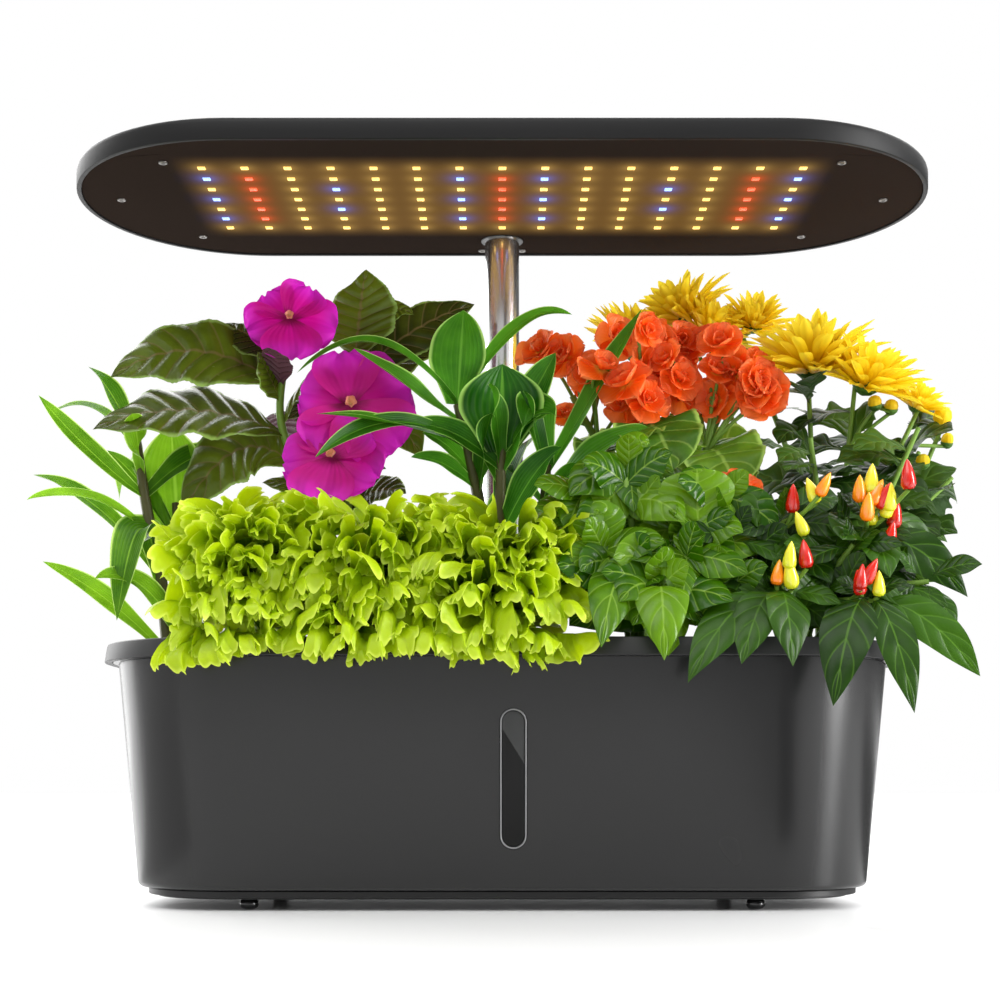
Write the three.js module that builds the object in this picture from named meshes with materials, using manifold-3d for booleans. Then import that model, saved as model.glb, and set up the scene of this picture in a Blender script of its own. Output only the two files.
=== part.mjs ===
// A countertop hydroponic garden: a water tank on four feet, a planting deck with ten pods and
// their plants, and a grow lamp on a telescopic pole. Millimetres, +Z up, front towards -Y.
// The origin is on the table, below the middle of the tank.

import * as THREE from "three";
import { mergeVertices } from "three/addons/utils/BufferGeometryUtils.js";
import Module from "manifold-3d";

const wasm = await Module();
wasm.setup();

// Values that several pieces share
const gap = 0.3; // clearance between pieces that touch or slide
const overrun = 1; // how far a cutting solid runs past a face
const weld = 0.0001; // points nearer than this are one point
const draft = 5; // lean of the tank wall, in degrees
const lean = Math.tan(THREE.MathUtils.degToRad(draft));

// Tank
const tank = {
  halfLength: 181,
  halfDepth: 80.5,
  cornerRadius: 60,
  cornerSteps: 6,
  height: 106.3,
  wall: 2.5,
  floor: 2.8,
  edge: 1.8,
  lipOut: 2.4,
  lipHeight: 2.2,
};
const plate = { thickness: 4, step: 1, inset: 2.9, stepInset: 4.5 };
const foot = { radius: 4.4, rise: 4.9, stemRadius: 2.2, stemHeight: 3, steps: 8 };
const footProfileShares = [[0, 0], [0.34, 0], [0.8, 0.18], [1, 0.52], [0.85, 1]];
const footPlaceShare = { x: 0.636, y: 0.683 };

// Deck
const deck = {
  thickness: 3,
  rimRise: 2.7,
  rimWidth: 3.2,
  rimSlope: 0.6,
  skirtDrop: 2.4,
  skirtWall: 3.5,
  skirtTaper: 1.2,
  edge: 0.7,
};

// Heights that the pieces stack up to
const plateBottomZ = foot.rise;
const tankBottomZ = plateBottomZ + plate.thickness + gap;
const tankFloorZ = tankBottomZ + tank.floor;
const tankRimZ = tankBottomZ + tank.height;
const deckBottomZ = tankRimZ + gap;
const deckTopZ = deckBottomZ + deck.thickness;
const rimTopZ = deckTopZ + deck.rimRise;

// Water window and its float
const sight = {
  x: 4.8,
  heightShare: 0.47,
  halfWidth: 5.9,
  halfHeight: 31.2,
  bezelWall: 0.7,
  proud: 0.4,
  lensThickness: 2,
  lensSteps: 5,
};
const guide = { innerHalfWidth: 4.6, wall: 1.2, depth: 9.9, below: 28.3, above: 31 };
const levelFloat = { radius: 4, height: 10, steps: 12 };

// Planting pods
const frontPodShares = [-0.73, -0.365, 0, 0.365, 0.73];
const backPodShares = [-0.884, -0.442, 0, 0.442, 0.884];
const frontRowShare = -0.522;
const backRowShare = 0.224;
const basket = {
  depth: 41,
  topRadius: 15.1,
  bottomRadius: 11.5,
  wall: 1.2,
  floor: 1.4,
  flangeRadius: 18.5,
  flange: 1.7,
  slotWidth: 4,
  slotHeight: 20,
  steps: 8,
};
const plugRise = 0.8;

// Pole, from the socket up to the lamp
const pole = {
  yShare: 0.745,
  lowerRadius: 11,
  upperRadius: 9,
  lowerWall: 1.1,
  upperWall: 1,
  lowerLength: 156,
  upperOverlap: 105,
  leadRadius: 2.4,
  steps: 16,
};
const socket = { wall: 2.7, floor: 2, depth: 26, flangeOut: 3, flange: 2 };
const collar = { height: 15, wall: 1.3, above: 9 };

// Lamp
const lampRise = 221.2; // deck top to the lower edge of the lamp
const lampOverhang = 2; // how far the lamp reaches past the tank, front and back
const lampHalfDepth = tank.halfDepth + lampOverhang;
const lamp = {
  halfLength: 205,
  halfDepth: lampHalfDepth,
  cornerRadius: lampHalfDepth,
  cornerSteps: 8,
  height: 10,
  top: 2,
  wall: 2.2,
  topEdge: 2.2,
  lowerEdge: 0.4,
};
const board = { recess: 0.8, thickness: 1.6 };
const led = { columns: 15, rows: 7, columnPitch: 19.8, rowPitch: 13.8, length: 3.5, width: 2.8, drop: 0.6 };
const ledCentreShare = -0.044;
const lampScrew = { headRadius: 2.1, head: 0.4, radius: 1.2, length: 6.2, bossRadius: 3, steps: 6 };
const lampScrewShares = [
  [-0.902, -0.036],
  [-0.756, -0.63],
  [-0.756, 0.63],
  [0.902, -0.036],
  [0.756, -0.63],
  [0.756, 0.63],
];
const bracket = { halfWidth: 20, front: 17, backMargin: 1.3, ceiling: 1.5, screwX: 10.5 };
const bracketScrewShare = 0.788; // from the pole to the bracket's back face
const driver = { halfLength: 35, halfDepth: 15, xShare: 0.44 };

// Console with its board, buttons and power inlet
const consoleBox = { left: 20, right: 62, front: 15.5, back: 15.5, height: 13.9, wall: 2 };
const controlBoard = { margin: 2, left: 16.5, thickness: 1.6, switchHalf: 3, jackHalf: 5, jackDepth: 3 };
const button = { radius: 5, flangeOut: 0.9, flange: 1, proud: 1.2, travel: 1.2, depth: 9.9, steps: 10 };
const buttonXs = { power: 28, mode: 46 };
const inlet = {
  x: 46,
  radius: 3.9,
  bore: 2.75,
  pin: 0.8,
  length: 9,
  flange: 3,
  flangeOut: 0.8,
  proud: 0.3,
  steps: 10,
};
const inletHeightShare = 0.5;

// Fill port with its flap
const port = { xShare: -0.334, yShare: 0.72, halfLength: 19, halfDepth: 10 };
const flap = { margin: 2, thickness: 1.6, barrel: 2.1, tabHalf: 6, tabRise: 3 };
const hinge = { pin: 0.9, back: 13.5, lift: 2.5, earWall: 2, earHalf: 2.5, pinOut: 1, steps: 8 };

// Pump, hung below the deck
const pump = {
  xShare: 0.539,
  yShare: 0.596,
  halfLength: 18,
  halfDepth: 14,
  height: 30,
  above: 4,
  rotorRadius: 9,
  rotorLength: 12,
  shaft: 1.5,
  shaftLength: 7,
  cover: 2.5,
  slotHalf: 1.5,
  slotPitch: 6,
  nozzle: 4,
  nozzleBore: 2.6,
  nozzleLength: 12,
  column: 4,
  vanes: 4,
  vane: 1.5,
  hub: 4,
  steps: 12,
};

// Plants: their tables are shares of this reach, from the pod's centre
const growthHeight = 100;
const growthStartHeight = 9.4; // the foliage's tables start this far above the deck
const reachShare = { x: 0.5525, y: 1.242 };
const reach = [tank.halfLength * reachShare.x, tank.halfDepth * reachShare.y, growthHeight];

// Leaf outlines: how far along the leaf, and its width there
const strapShares = [[0, 0.4], [0.45, 1], [0.8, 0.7], [1, 0]];
const ovateShares = [[0, 0.12], [0.4, 0.95], [0.75, 0.8], [1, 0]];
const bluntShares = [[0, 0.4], [0.6, 0.9], [0.9, 1], [1, 0.6]];
const stalkedShares = [[0, 0.08], [0.38, 0.1], [0.6, 1], [0.88, 0.75], [1, 0]];
const leafThicknessShare = 0.012;
const leafFoldShare = 0.07;
const leafFacing = [0, -0.7, 0.7];
const flowerFacing = [0, -0.9, 0.45];
const bloomShares = { cupDepth: 0.5, mouth: 0.5, mouthDepth: 0.3, stalkTop: 0.45 };
const bloomSides = { wide: 9, small: 6, smallRadiusShare: 0.12 };
const stemRadiusShare = 0.02;
const stemTaperShare = 0.4;
const stemAcross = [1, 0.2, 0.1];
const stalkRadiusShare = 0.01;
const stalkSides = 3;

// Each plant's stems are lists of points. A leaf is its stem, how far up it, its tip, the rise of
// its arch and its width. A flower is its stem, how far up it, its centre and its radius.
const dracaenaLeftShares = {
  stems: [
    [[-0.05, 0, -0.15], [-0.1, 0, 0.3], [-0.17, -0.02, 0.68], [-0.22, 0, 1]],
    [[0.05, 0.04, -0.15], [-0.01, 0.06, 0.35], [-0.04, 0.08, 0.7]],
  ],
  leaves: [
    [0, 0.7, [-0.67, -0.15, 1.19], -0.03, 0.07],
    [0, 0.95, [-0.71, 0.2, 1.17], 0.12, 0.06],
    [0, 0.35, [-0.73, -0.1, 0.81], 0.1, 0.08],
    [0, 0.53, [-0.71, -0.25, 0.66], 0.1, 0.05],
    [0, 0.05, [-0.635, -0.2, 0.37], 0.05, 0.07],
    [1, 0.08, [-0.37, -0.25, 0.28], 0.15, 0.08],
    [0, 0.33, [-0.27, -0.22, 0.08], 0.35, 0.14],
    [1, 0.6, [-0.07, 0.1, 1.1], 0, 0.22],
    [1, 0.7, [-0.38, 0.05, 0.96], 0.05, 0.06],
    [1, 0.4, [0.05, 0.1, 0.87], 0, 0.08],
    [1, 0.5, [-0.25, 0.82, 0.65], 0.2, 0.09],
    [0, 0.8, [-0.45, 0.62, 0.8], 0.15, 0.08],
    [1, 0.2, [0.05, 0.72, 0.3], 0.3, 0.08],
  ],
};
const impatiensShares = {
  stems: [
    [
      [-0.05, -0.02, -0.15],
      [-0.11, -0.04, 0.45],
      [-0.22, -0.05, 0.85],
      [-0.3, -0.05, 1.12],
      [-0.26, -0.08, 1.45],
    ],
    [[0.05, 0.02, -0.15], [0.04, 0.02, 0.6], [0.05, 0, 1.05], [0.07, 0, 1.42]],
  ],
  leaves: [
    [0, 0.85, [-1.14, -0.05, 1.3], 0.15, 0.26],
    [0, 0.65, [-1.18, -0.25, 1], 0.1, 0.3],
    [0, 0.5, [-0.78, -0.1, 0.61], 0.2, 0.25],
    [0, 0.95, [-0.62, 0.12, 1.61], 0.02, 0.14],
    [1, 0.98, [0.12, 0.03, 1.86], 0, 0.24],
    [1, 0.95, [0.36, -0.02, 1.62], 0.12, 0.1],
    [1, 0.9, [0.66, 0.15, 1.72], 0.05, 0.16],
    [0, 0.8, [-0.39, -0.2, 1.39], 0, 0.12],
    [0, 0.7, [0.08, -0.15, 1.28], 0.1, 0.13],
    [1, 0.85, [0.5, 0.05, 1.5], 0, 0.15],
    [1, 0.5, [0.4, -0.05, 0.9], 0.2, 0.2],
    [1, 0.7, [0.1, 0.24, 1.2], 0.15, 0.2],
  ],
  flowers: [
    [0, 0.9, [-0.245, -0.12, 1.57], 0.18],
    [1, 0.7, [0.06, -0.2, 1.13], 0.24],
    [1, 0.5, [-0.02, -0.28, 0.86], 0.2],
  ],
};
const dracaenaCentreShares = {
  stems: [
    [[-0.06, 0.02, -0.15], [-0.09, -0.05, 0.5], [-0.16, -0.12, 0.9], [-0.22, -0.12, 1.15]],
    [[0.06, 0.02, -0.15], [0.18, -0.08, 0.4], [0.22, -0.15, 0.85]],
    [[0, -0.06, -0.15], [-0.01, -0.15, 0.6], [0, -0.18, 0.95]],
  ],
  leaves: [
    [0, 1, [-0.19, -0.1, 1.62], 0, 0.19],
    [2, 0.93, [0, -0.22, 1.325], 0, 0.26],
    [0, 1, [-0.98, -0.35, 1.25], 0.22, 0.06],
    [0, 0.85, [-0.71, -0.35, 1.37], 0, 0.1],
    [0, 0.72, [-0.86, -0.6, 1], 0.03, 0.08],
    [0, 0.7, [-0.87, -0.58, 0.8], 0.15, 0.07],
    [0, 0.98, [0.34, -0.2, 1.57], 0.16, 0.055],
    [2, 0.8, [0.25, -0.35, 1.05], 0.1, 0.17],
    [2, 0.95, [0.26, -0.22, 1.38], 0, 0.11],
    [1, 0.95, [0.68, -0.2, 1.6], 0, 0.08],
    [1, 0.8, [0.69, -0.44, 0.97], 0.05, 0.14],
    [1, 0.6, [0.88, -0.5, 0.5], 0.08, 0.06],
    [1, 1, [0.1, -0.3, 1], 0.18, 0.12],
    [2, 0.6, [0.12, 0.2, 1], 0.1, 0.12],
  ],
};
const begoniaShares = {
  stems: [
    [[-0.01, -0.06, -0.15], [-0.05, -0.08, 0.6], [-0.12, -0.1, 1.15]],
    [[0.06, 0.02, -0.15], [0.12, -0.04, 0.6], [0.25, -0.1, 1.1]],
    [[-0.06, 0.04, -0.15], [-0.2, 0.02, 0.7], [-0.45, 0, 1.22]],
  ],
  leaves: [
    [1, 0.8, [0.31, -0.35, 0.7], 0.08, 0.28],
    [0, 0.9, [0.01, -0.4, 0.775], 0.08, 0.27],
    [2, 0.6, [-0.36, -0.2, 0.81], 0.1, 0.2],
    [1, 0.6, [0.515, 0.1, 0.92], 0.1, 0.25],
    [0, 0.5, [-0.3, 0.1, 0.75], 0.1, 0.25],
  ],
  flowers: [
    [0, 0.8, [-0.2, -0.25, 1.22], 0.1],
    [0, 0.87, [-0.09, -0.12, 1.33], 0.09],
    [1, 0.93, [0.34, -0.15, 1.3], 0.09],
    [1, 0.8, [0.47, -0.2, 1.18], 0.09],
    [2, 0.97, [-0.61, -0.02, 1.44], 0.09],
    [2, 0.9, [-0.48, -0.05, 1.4], 0.09],
    [2, 0.83, [-0.23, -0.02, 1.5], 0.08],
    [0, 0.98, [-0.02, 0, 1.48], 0.08],
    [1, 0.99, [0.21, 0, 1.48], 0.08],
    [1, 0.86, [0.1, 0.05, 1.51], 0.07],
    [0, 0.93, [0.065, -0.15, 1.265], 0.08],
    [1, 0.6, [0.29, -0.45, 0.65], 0.09],
    [2, 0.85, [-0.48, -0.04, 1.11], 0.06],
    [2, 0.77, [-0.375, -0.1, 1.3], 0.08],
  ],
};
const mumShares = {
  stems: [
    [[-0.02, -0.03, -0.15], [-0.05, -0.02, 0.6], [-0.08, -0.02, 1.33]],
    [[0.04, -0.05, -0.15], [0.08, -0.06, 0.6], [0.14, -0.08, 1.25]],
    [[0.05, 0.01, -0.15], [0.23, 0, 0.6], [0.47, 0, 1.15]],
    [[-0.02, 0.05, -0.15], [-0.2, 0.26, 0.7], [-0.6, 0.35, 1.55]],
    [[-0.08, 0.01, -0.15], [-0.34, 0.18, 0.7], [-0.88, 0.33, 1.5]],
    [[0.07, 0.03, -0.15], [0.13, 0.04, 0.1], [0.4, 0.06, 0.6], [0.6, 0.02, 1.08]],
    [[0.04, 0.08, -0.15], [-0.08, 0.24, 0.8], [-0.36, 0.3, 1.6]],
  ],
  leaves: [
    [1, 0.6, [0.55, -0.1, 0.6], 0.1, 0.2],
    [2, 0.5, [0.685, 0, 0.86], 0.05, 0.2],
    [0, 0.7, [-0.25, -0.15, 0.95], 0.1, 0.2],
    [1, 0.75, [0.3, -0.15, 1.1], 0.1, 0.2],
    [0, 0.4, [-0.35, -0.1, 0.55], 0.1, 0.2],
    [2, 0.35, [0.5, 0.1, 0.5], 0.1, 0.2],
    [0, 0.6, [0.2, -0.2, 0.7], 0.1, 0.2],
    [1, 0.4, [0.2, 0.72, 0.5], 0.2, 0.2],
    [2, 0.6, [0.45, 0.6, 0.9], 0.15, 0.2],
  ],
  flowers: [
    [0, 1, [-0.07, -0.04, 1.4], 0.33],
    [1, 1, [0.2, -0.12, 1.29], 0.28],
    [2, 1, [0.47, 0, 1.19], 0.16],
    [4, 1, [-0.9, 0.33, 1.57], 0.22],
    [3, 1, [-0.68, 0.38, 1.76], 0.2],
    [3, 1, [-0.58, 0.3, 1.62], 0.16],
    [6, 1, [-0.36, 0.3, 1.67], 0.16],
    [5, 1, [0.6, 0.02, 1.12], 0.05],
  ],
};
const basilShares = {
  stems: [
    [[-0.02, 0.03, -0.15], [-0.04, -0.07, 0.3], [-0.1, -0.15, 0.6], [-0.08, -0.1, 0.73]],
    [[0.06, 0.02, -0.15], [0.12, -0.13, 0.25], [0.22, -0.2, 0.43]],
    [[-0.05, -0.03, -0.15], [-0.06, -0.07, 0.07], [-0.1, -0.25, 0.17], [-0.22, -0.3, 0.33]],
    [[0.03, -0.04, -0.15], [0.04, -0.08, 0.07], [0.05, -0.3, 0.12], [0.03, -0.38, 0.14]],
  ],
  leaves: [
    [0, 0.85, [-0.36, -0.2, 0.585], 0.06, 0.16],
    [0, 1, [0.015, -0.05, 0.85], 0.05, 0.14],
    [0, 0.6, [0.15, -0.3, 0.45], 0.06, 0.14],
    [2, 1, [-0.24, -0.35, 0.49], 0.05, 0.15],
    [1, 1, [0.21, -0.25, 0.7], 0.05, 0.22],
    [0, 0.3, [-0.015, -0.4, 0.25], 0.06, 0.15],
    [2, 0.5, [0.02, -0.45, 0.165], 0.05, 0.16],
    [2, 0.8, [-0.32, -0.4, 0.22], 0.05, 0.12],
    [2, 0.7, [-0.24, -0.62, -0.13], 0.12, 0.14],
    [3, 0.8, [-0.155, -0.5, 0.075], 0.06, 0.15],
    [3, 1, [0.03, -0.62, -0.185], 0.12, 0.15],
    [1, 0.5, [0.2, -0.38, 0.09], 0.08, 0.13],
    [1, 0.8, [0.41, -0.3, 0.405], 0.05, 0.13],
    [0, 0.5, [-0.05, 0.12, 0.5], 0.08, 0.15],
  ],
};
const pepperShares = {
  stems: [
    [[-0.02, 0.03, -0.15], [-0.04, -0.08, 0.25], [-0.05, -0.15, 0.48]],
    [[0.06, 0.02, -0.15], [0.18, -0.1, 0.3], [0.37, -0.15, 0.48]],
    [[-0.04, -0.03, -0.15], [-0.05, -0.07, 0.07], [-0.07, -0.2, 0.11], [-0.1, -0.34, 0.13]],
    [[0.05, -0.04, -0.15], [0.07, -0.07, 0.07], [0.18, -0.22, 0.11], [0.3, -0.34, 0.1]],
  ],
  leaves: [
    [2, 0.7, [-0.43, -0.35, 0.16], 0.06, 0.13],
    [2, 0.9, [-0.53, -0.55, -0.09], 0.1, 0.12],
    [2, 1, [-0.32, -0.52, -0.075], 0.08, 0.12],
    [2, 0.96, [-0.08, -0.6, -0.21], 0.12, 0.14],
    [3, 1, [0.09, -0.62, -0.38], 0.15, 0.16],
    [3, 0.95, [0.44, -0.5, -0.41], 0.18, 0.13],
    [3, 0.9, [0.775, -0.3, -0.26], 0.18, 0.12],
    [1, 0.5, [0.68, -0.2, -0.06], 0.12, 0.08],
    [1, 0.6, [0.615, -0.1, 0.1], 0.08, 0.08],
    [1, 0.75, [0.775, -0.2, 0.13], 0.1, 0.13],
    [1, 0.95, [0.67, -0.05, 0.345], 0.08, 0.08],
    [0, 0.6, [0.14, -0.3, 0.18], 0.06, 0.12],
    [1, 0.8, [0.19, -0.3, 0.375], 0.04, 0.15],
    [0, 0.9, [-0.25, -0.2, 0.51], 0.05, 0.12],
    [0, 1, [0.23, -0.05, 0.59], 0.05, 0.12],
    [1, 0.9, [0.39, -0.35, 0.2], 0.05, 0.12],
  ],
  fruits: [
    [0, 0.9, [-0.015, -0.2, 0.51]],
    [1, 0.88, [0.34, -0.21, 0.45]],
    [1, 0.97, [0.46, -0.12, 0.53]],
    [1, 0.92, [0.44, -0.2, 0.44]],
    [0, 0.7, [0.035, -0.25, 0.4]],
    [1, 0.8, [0.4, -0.25, 0.335]],
    [2, 0.95, [-0.12, -0.4, 0.16]],
    [2, 0.8, [-0.05, -0.4, 0.145]],
    [3, 0.85, [0.25, -0.4, 0.115]],
    [3, 0.97, [0.33, -0.4, 0.11]],
  ],
};
const fruitShares = { length: 0.11, radius: 0.022, base: 0.6, shoulder: 0.3, stalkTop: 0.1 };
const fruitSides = 4;

// Lettuce head: how wide it is at each height, its frill, and the leaves that hang over the rim
const lettuceShares = {
  rings: [[0.09, 0.03], [0.32, 0.08], [0.35, 0.24], [0.35, 0.42], [0.29, 0.58], [0.12, 0.67]],
  frill: 0.07,
  points: 16,
  stems: [[[0, 0, -0.15], [0, 0, 0.12]]],
};
const lettuceHeads = [
  { name: "plant_lettuce_left", centreShare: 0.02, widthShare: 0.81, tipShares: [-0.22, 0, 0.2] },
  { name: "plant_lettuce_middle", centreShare: 0, widthShare: 0.86, tipShares: [-0.21, 0, 0.21] },
  { name: "plant_lettuce_right", centreShare: 0.035, widthShare: 0.96, tipShares: [-0.18, 0.04, 0.25] },
];
const lettuceTipShare = { y: -0.6, z: -0.2, arch: 0.2, width: 0.22 };
const lettuceStartShare = { spread: 0.6, y: -0.2, z: 0.22 };

// Materials
function finish(color, roughness, metalness = 0) {
  return new THREE.MeshStandardMaterial({ color, roughness, metalness, flatShading: true });
}
const charcoal = finish(0x424242, 0.55);
const blackPlastic = finish(0x1b1b1b, 0.4);
const glossBlack = finish(0x0b0b0b, 0.1);
const clearLens = finish(0x30343a, 0.05);
const whitePlastic = finish(0xe8e8e8, 0.4);
const brushedSteel = finish(0xb9b4aa, 0.3, 1);
const lampShell = finish(0x2b2b2b, 0.5);
const lampPlate = finish(0x2a2420, 0.5);
const circuitGreen = finish(0x1f5a34, 0.5);
const leafGreen = finish(0x3f7d24, 0.6);
const lettuceGreen = finish(0xa8cf1e, 0.6);

// Turn a closed geometry into a solid that faces outwards
function solidOf(geometry) {
  const bare = new THREE.BufferGeometry();
  bare.setAttribute("position", geometry.getAttribute("position"));
  bare.setIndex(geometry.index);
  const merged = mergeVertices(bare, weld);
  const corners = merged.index.array;
  const triangles = [];
  for (let i = 0; i < corners.length; i += 3) {
    const [a, b, c] = corners.slice(i, i + 3);
    if (a !== b && b !== c && c !== a) triangles.push([a, b, c]);
  }
  const build = (faces) =>
    new wasm.Manifold(
      new wasm.Mesh({
        numProp: 3,
        vertProperties: merged.attributes.position.array,
        triVerts: new Uint32Array(faces.flat()),
      }),
    );
  const solid = build(triangles);
  return solid.volume() > 0 ? solid : build(triangles.map(([a, b, c]) => [a, c, b]));
}

function join(solids) {
  return solids.reduce((whole, solid) => whole.add(solid));
}

function addMesh(parent, name, solid, material, place = [0, 0, 0]) {
  const { vertProperties, triVerts } = solid.getMesh();
  const geometry = new THREE.BufferGeometry();
  geometry.setAttribute("position", new THREE.BufferAttribute(vertProperties, 3));
  geometry.setIndex(new THREE.BufferAttribute(triVerts, 1));
  geometry.computeVertexNormals();
  const mesh = new THREE.Mesh(geometry, material);
  mesh.name = name;
  mesh.position.set(...place);
  parent.add(mesh);
  return mesh;
}

function box(low, high) {
  const size = high.map((value, axis) => value - low[axis]);
  const middle = high.map((value, axis) => (value + low[axis]) / 2);
  return solidOf(new THREE.BoxGeometry(...size).translate(...middle));
}

// A solid of revolution about Z from its [radius, height] profile
function lathe(profile, steps) {
  const points = profile.map(([radius, z]) => new THREE.Vector2(radius, z));
  return solidOf(new THREE.LatheGeometry(points, steps).rotateX(Math.PI / 2));
}

function rod(radius, low, high, steps) {
  return lathe([[0, low], [radius, low], [radius, high], [0, high]], steps);
}

// The triangles that fill a ring, fanned from its middle
function ringFaces(ring) {
  if (ring.length === 3) return [ring];
  const middle = new THREE.Vector3();
  ring.forEach((point) => middle.addScaledVector(point, 1 / ring.length));
  return ring.map((point, j) => [middle, point, ring[(j + 1) % ring.length]]);
}

// A closed skin over a row of rings with equal numbers of points
function ringSolid(rings) {
  const faces = ringFaces(rings[0]).map(([a, b, c]) => [a, c, b]);
  rings.slice(1).forEach((ring, i) => {
    const before = rings[i];
    ring.forEach((point, j) => {
      const k = (j + 1) % ring.length;
      faces.push([before[j], before[k], ring[k]], [before[j], ring[k], point]);
    });
  });
  faces.push(...ringFaces(rings.at(-1)));
  const positions = faces.flat().flatMap(({ x, y, z }) => [x, y, z]);
  const geometry = new THREE.BufferGeometry();
  geometry.setAttribute("position", new THREE.Float32BufferAttribute(positions, 3));
  return solidOf(geometry);
}

// A rounded rectangle, grown by an offset, at a height
function planRing(plan, offset, z) {
  const radius = plan.cornerRadius + offset;
  const acrossX = plan.halfLength - plan.cornerRadius;
  const acrossY = plan.halfDepth - plan.cornerRadius;
  const points = [];
  for (let corner = 0; corner < 4; corner++) {
    const sideX = corner === 0 || corner === 3 ? 1 : -1;
    const sideY = corner < 2 ? 1 : -1;
    for (let step = 0; step <= plan.cornerSteps; step++) {
      const angle = (Math.PI / 2) * (corner + step / plan.cornerSteps);
      const x = sideX * acrossX + radius * Math.cos(angle);
      const y = sideY * acrossY + radius * Math.sin(angle);
      points.push(new THREE.Vector3(x, y, z));
    }
  }
  return points.filter((point, i) => point.distanceTo(points.at(i - 1)) > weld);
}

function planSolid(plan, profile) {
  return ringSolid(profile.map(([offset, z]) => planRing(plan, offset, z)));
}

function planPrism(plan, offset, low, high) {
  return planSolid(plan, [[offset, low], [offset, high]]);
}

// How far the tank wall stands in from its top at a height
function wallOffset(z) {
  return (z - tankRimZ) * lean;
}

const signs = [-1, 1];
const footPlaces = signs.flatMap((sideX) =>
  signs.map((sideY) => ({
    name: `foot_${sideY < 0 ? "front" : "rear"}_${sideX < 0 ? "left" : "right"}`,
    x: sideX * tank.halfLength * footPlaceShare.x,
    y: sideY * tank.halfDepth * footPlaceShare.y,
  })),
);

// Tank, base plate and feet
const sightZ = tankBottomZ + tank.height * sight.heightShare;
const sightY = -(tank.halfDepth + wallOffset(sightZ));
const sightPlan = {
  halfLength: sight.halfWidth,
  halfDepth: sight.halfHeight,
  cornerRadius: sight.halfWidth,
  cornerSteps: sight.lensSteps,
};

// A stadium in the window's own frame, from one depth behind the wall's face to another
function sightPrism(offset, front, back) {
  return planPrism(sightPlan, offset, -back, -front).rotate([90, 0, 0]);
}

function inSightPlace(solid) {
  return solid.rotate([draft, 0, 0]).translate([sight.x, sightY, sightZ]);
}

function tankSolid() {
  const lipZ = tankRimZ - tank.lipHeight;
  const shell = planSolid(tank, [
    [wallOffset(tankBottomZ) - tank.edge, tankBottomZ],
    [wallOffset(tankBottomZ + tank.edge), tankBottomZ + tank.edge],
    [wallOffset(lipZ), lipZ],
    [tank.lipOut, lipZ],
    [tank.lipOut, tankRimZ],
    [-tank.wall, tankRimZ],
    [wallOffset(tankFloorZ) - tank.wall, tankFloorZ],
  ]);
  return shell.subtract(inSightPlace(sightPrism(gap, -overrun, tank.wall + overrun)));
}

function plateSolid() {
  const offset = wallOffset(tankBottomZ) - tank.edge - plate.inset;
  const stepZ = plateBottomZ + plate.step;
  const slab = planSolid(tank, [
    [offset - plate.stepInset, plateBottomZ],
    [offset - plate.stepInset, stepZ],
    [offset, stepZ],
    [offset, plateBottomZ + plate.thickness],
  ]);
  const top = plateBottomZ + plate.thickness + overrun;
  const hole = rod(foot.stemRadius + gap, plateBottomZ - overrun, top, foot.steps);
  return footPlaces.reduce((solid, { x, y }) => solid.subtract(hole.translate([x, y, 0])), slab);
}

function footSolid() {
  const seat = foot.rise - gap;
  const stemTop = seat + foot.stemHeight;
  const pad = footProfileShares.map(([r, z]) => [r * foot.radius, z * seat]);
  const stem = [[foot.stemRadius, seat], [foot.stemRadius, stemTop], [0, stemTop]];
  return lathe([...pad, ...stem], foot.steps);
}

// Water window: bezel, lens, guide and float
const guideFront = tank.wall + gap;
const floatCentre = guideFront + guide.depth / 2 - gap;
const floatBottom = -guide.below + guide.wall + gap;

function bezelSolid() {
  const back = tank.wall;
  const ring = sightPrism(0, -sight.proud, back);
  return ring.subtract(sightPrism(-sight.bezelWall, -sight.proud - overrun, back + overrun));
}

function lensSolid() {
  return sightPrism(-sight.bezelWall - gap, 0, sight.lensThickness);
}

function guideSolid() {
  const outer = guide.innerHalfWidth + guide.wall;
  const back = guideFront + guide.depth;
  const body = box([-outer, guideFront, -guide.below], [outer, back, guide.above]);
  const low = [-guide.innerHalfWidth, guideFront - overrun, guide.wall - guide.below];
  const high = [guide.innerHalfWidth, back - guide.wall, guide.above + overrun];
  return body.subtract(box(low, high));
}

function floatSolid() {
  return rod(levelFloat.radius, floatBottom, floatBottom + levelFloat.height, levelFloat.steps);
}

// Deck: where its holes are
const poleY = tank.halfDepth * pole.yShare;
const bracketBack = lamp.halfDepth - lamp.wall - bracket.backMargin - poleY;
const portX = tank.halfLength * port.xShare;
const portY = tank.halfDepth * port.yShare;
const podPlaces = [
  ...backPodShares.map((share) => [tank.halfLength * share, tank.halfDepth * backRowShare]),
  ...frontPodShares.map((share) => [tank.halfLength * share, tank.halfDepth * frontRowShare]),
];
const sleeveInner = pole.lowerRadius + gap;
const sleeveOuter = sleeveInner + socket.wall;
const hingeY = portY + hinge.back;
const hingeZ = deckTopZ + hinge.lift;
const flapHalf = port.halfLength + flap.margin;

// A rod or hole along X
function rodAlongX(radius, low, high, steps) {
  return rod(radius, low, high, steps).rotate([0, 90, 0]);
}

function earSolid(side) {
  const near = side * (flapHalf + gap);
  const far = side * (flapHalf + gap + hinge.earWall);
  const top = hingeZ + hinge.earHalf;
  const root = deckTopZ - deck.thickness / 2;
  const block = box(
    [portX + Math.min(near, far), hingeY - hinge.earHalf, root],
    [portX + Math.max(near, far), hingeY + hinge.earHalf, top],
  );
  const reachOut = flapHalf + hinge.earWall + overrun;
  const hole = rodAlongX(hinge.pin + gap, -reachOut - overrun, reachOut + overrun, hinge.steps);
  return block.subtract(hole.translate([portX, hingeY, hingeZ]));
}

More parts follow.
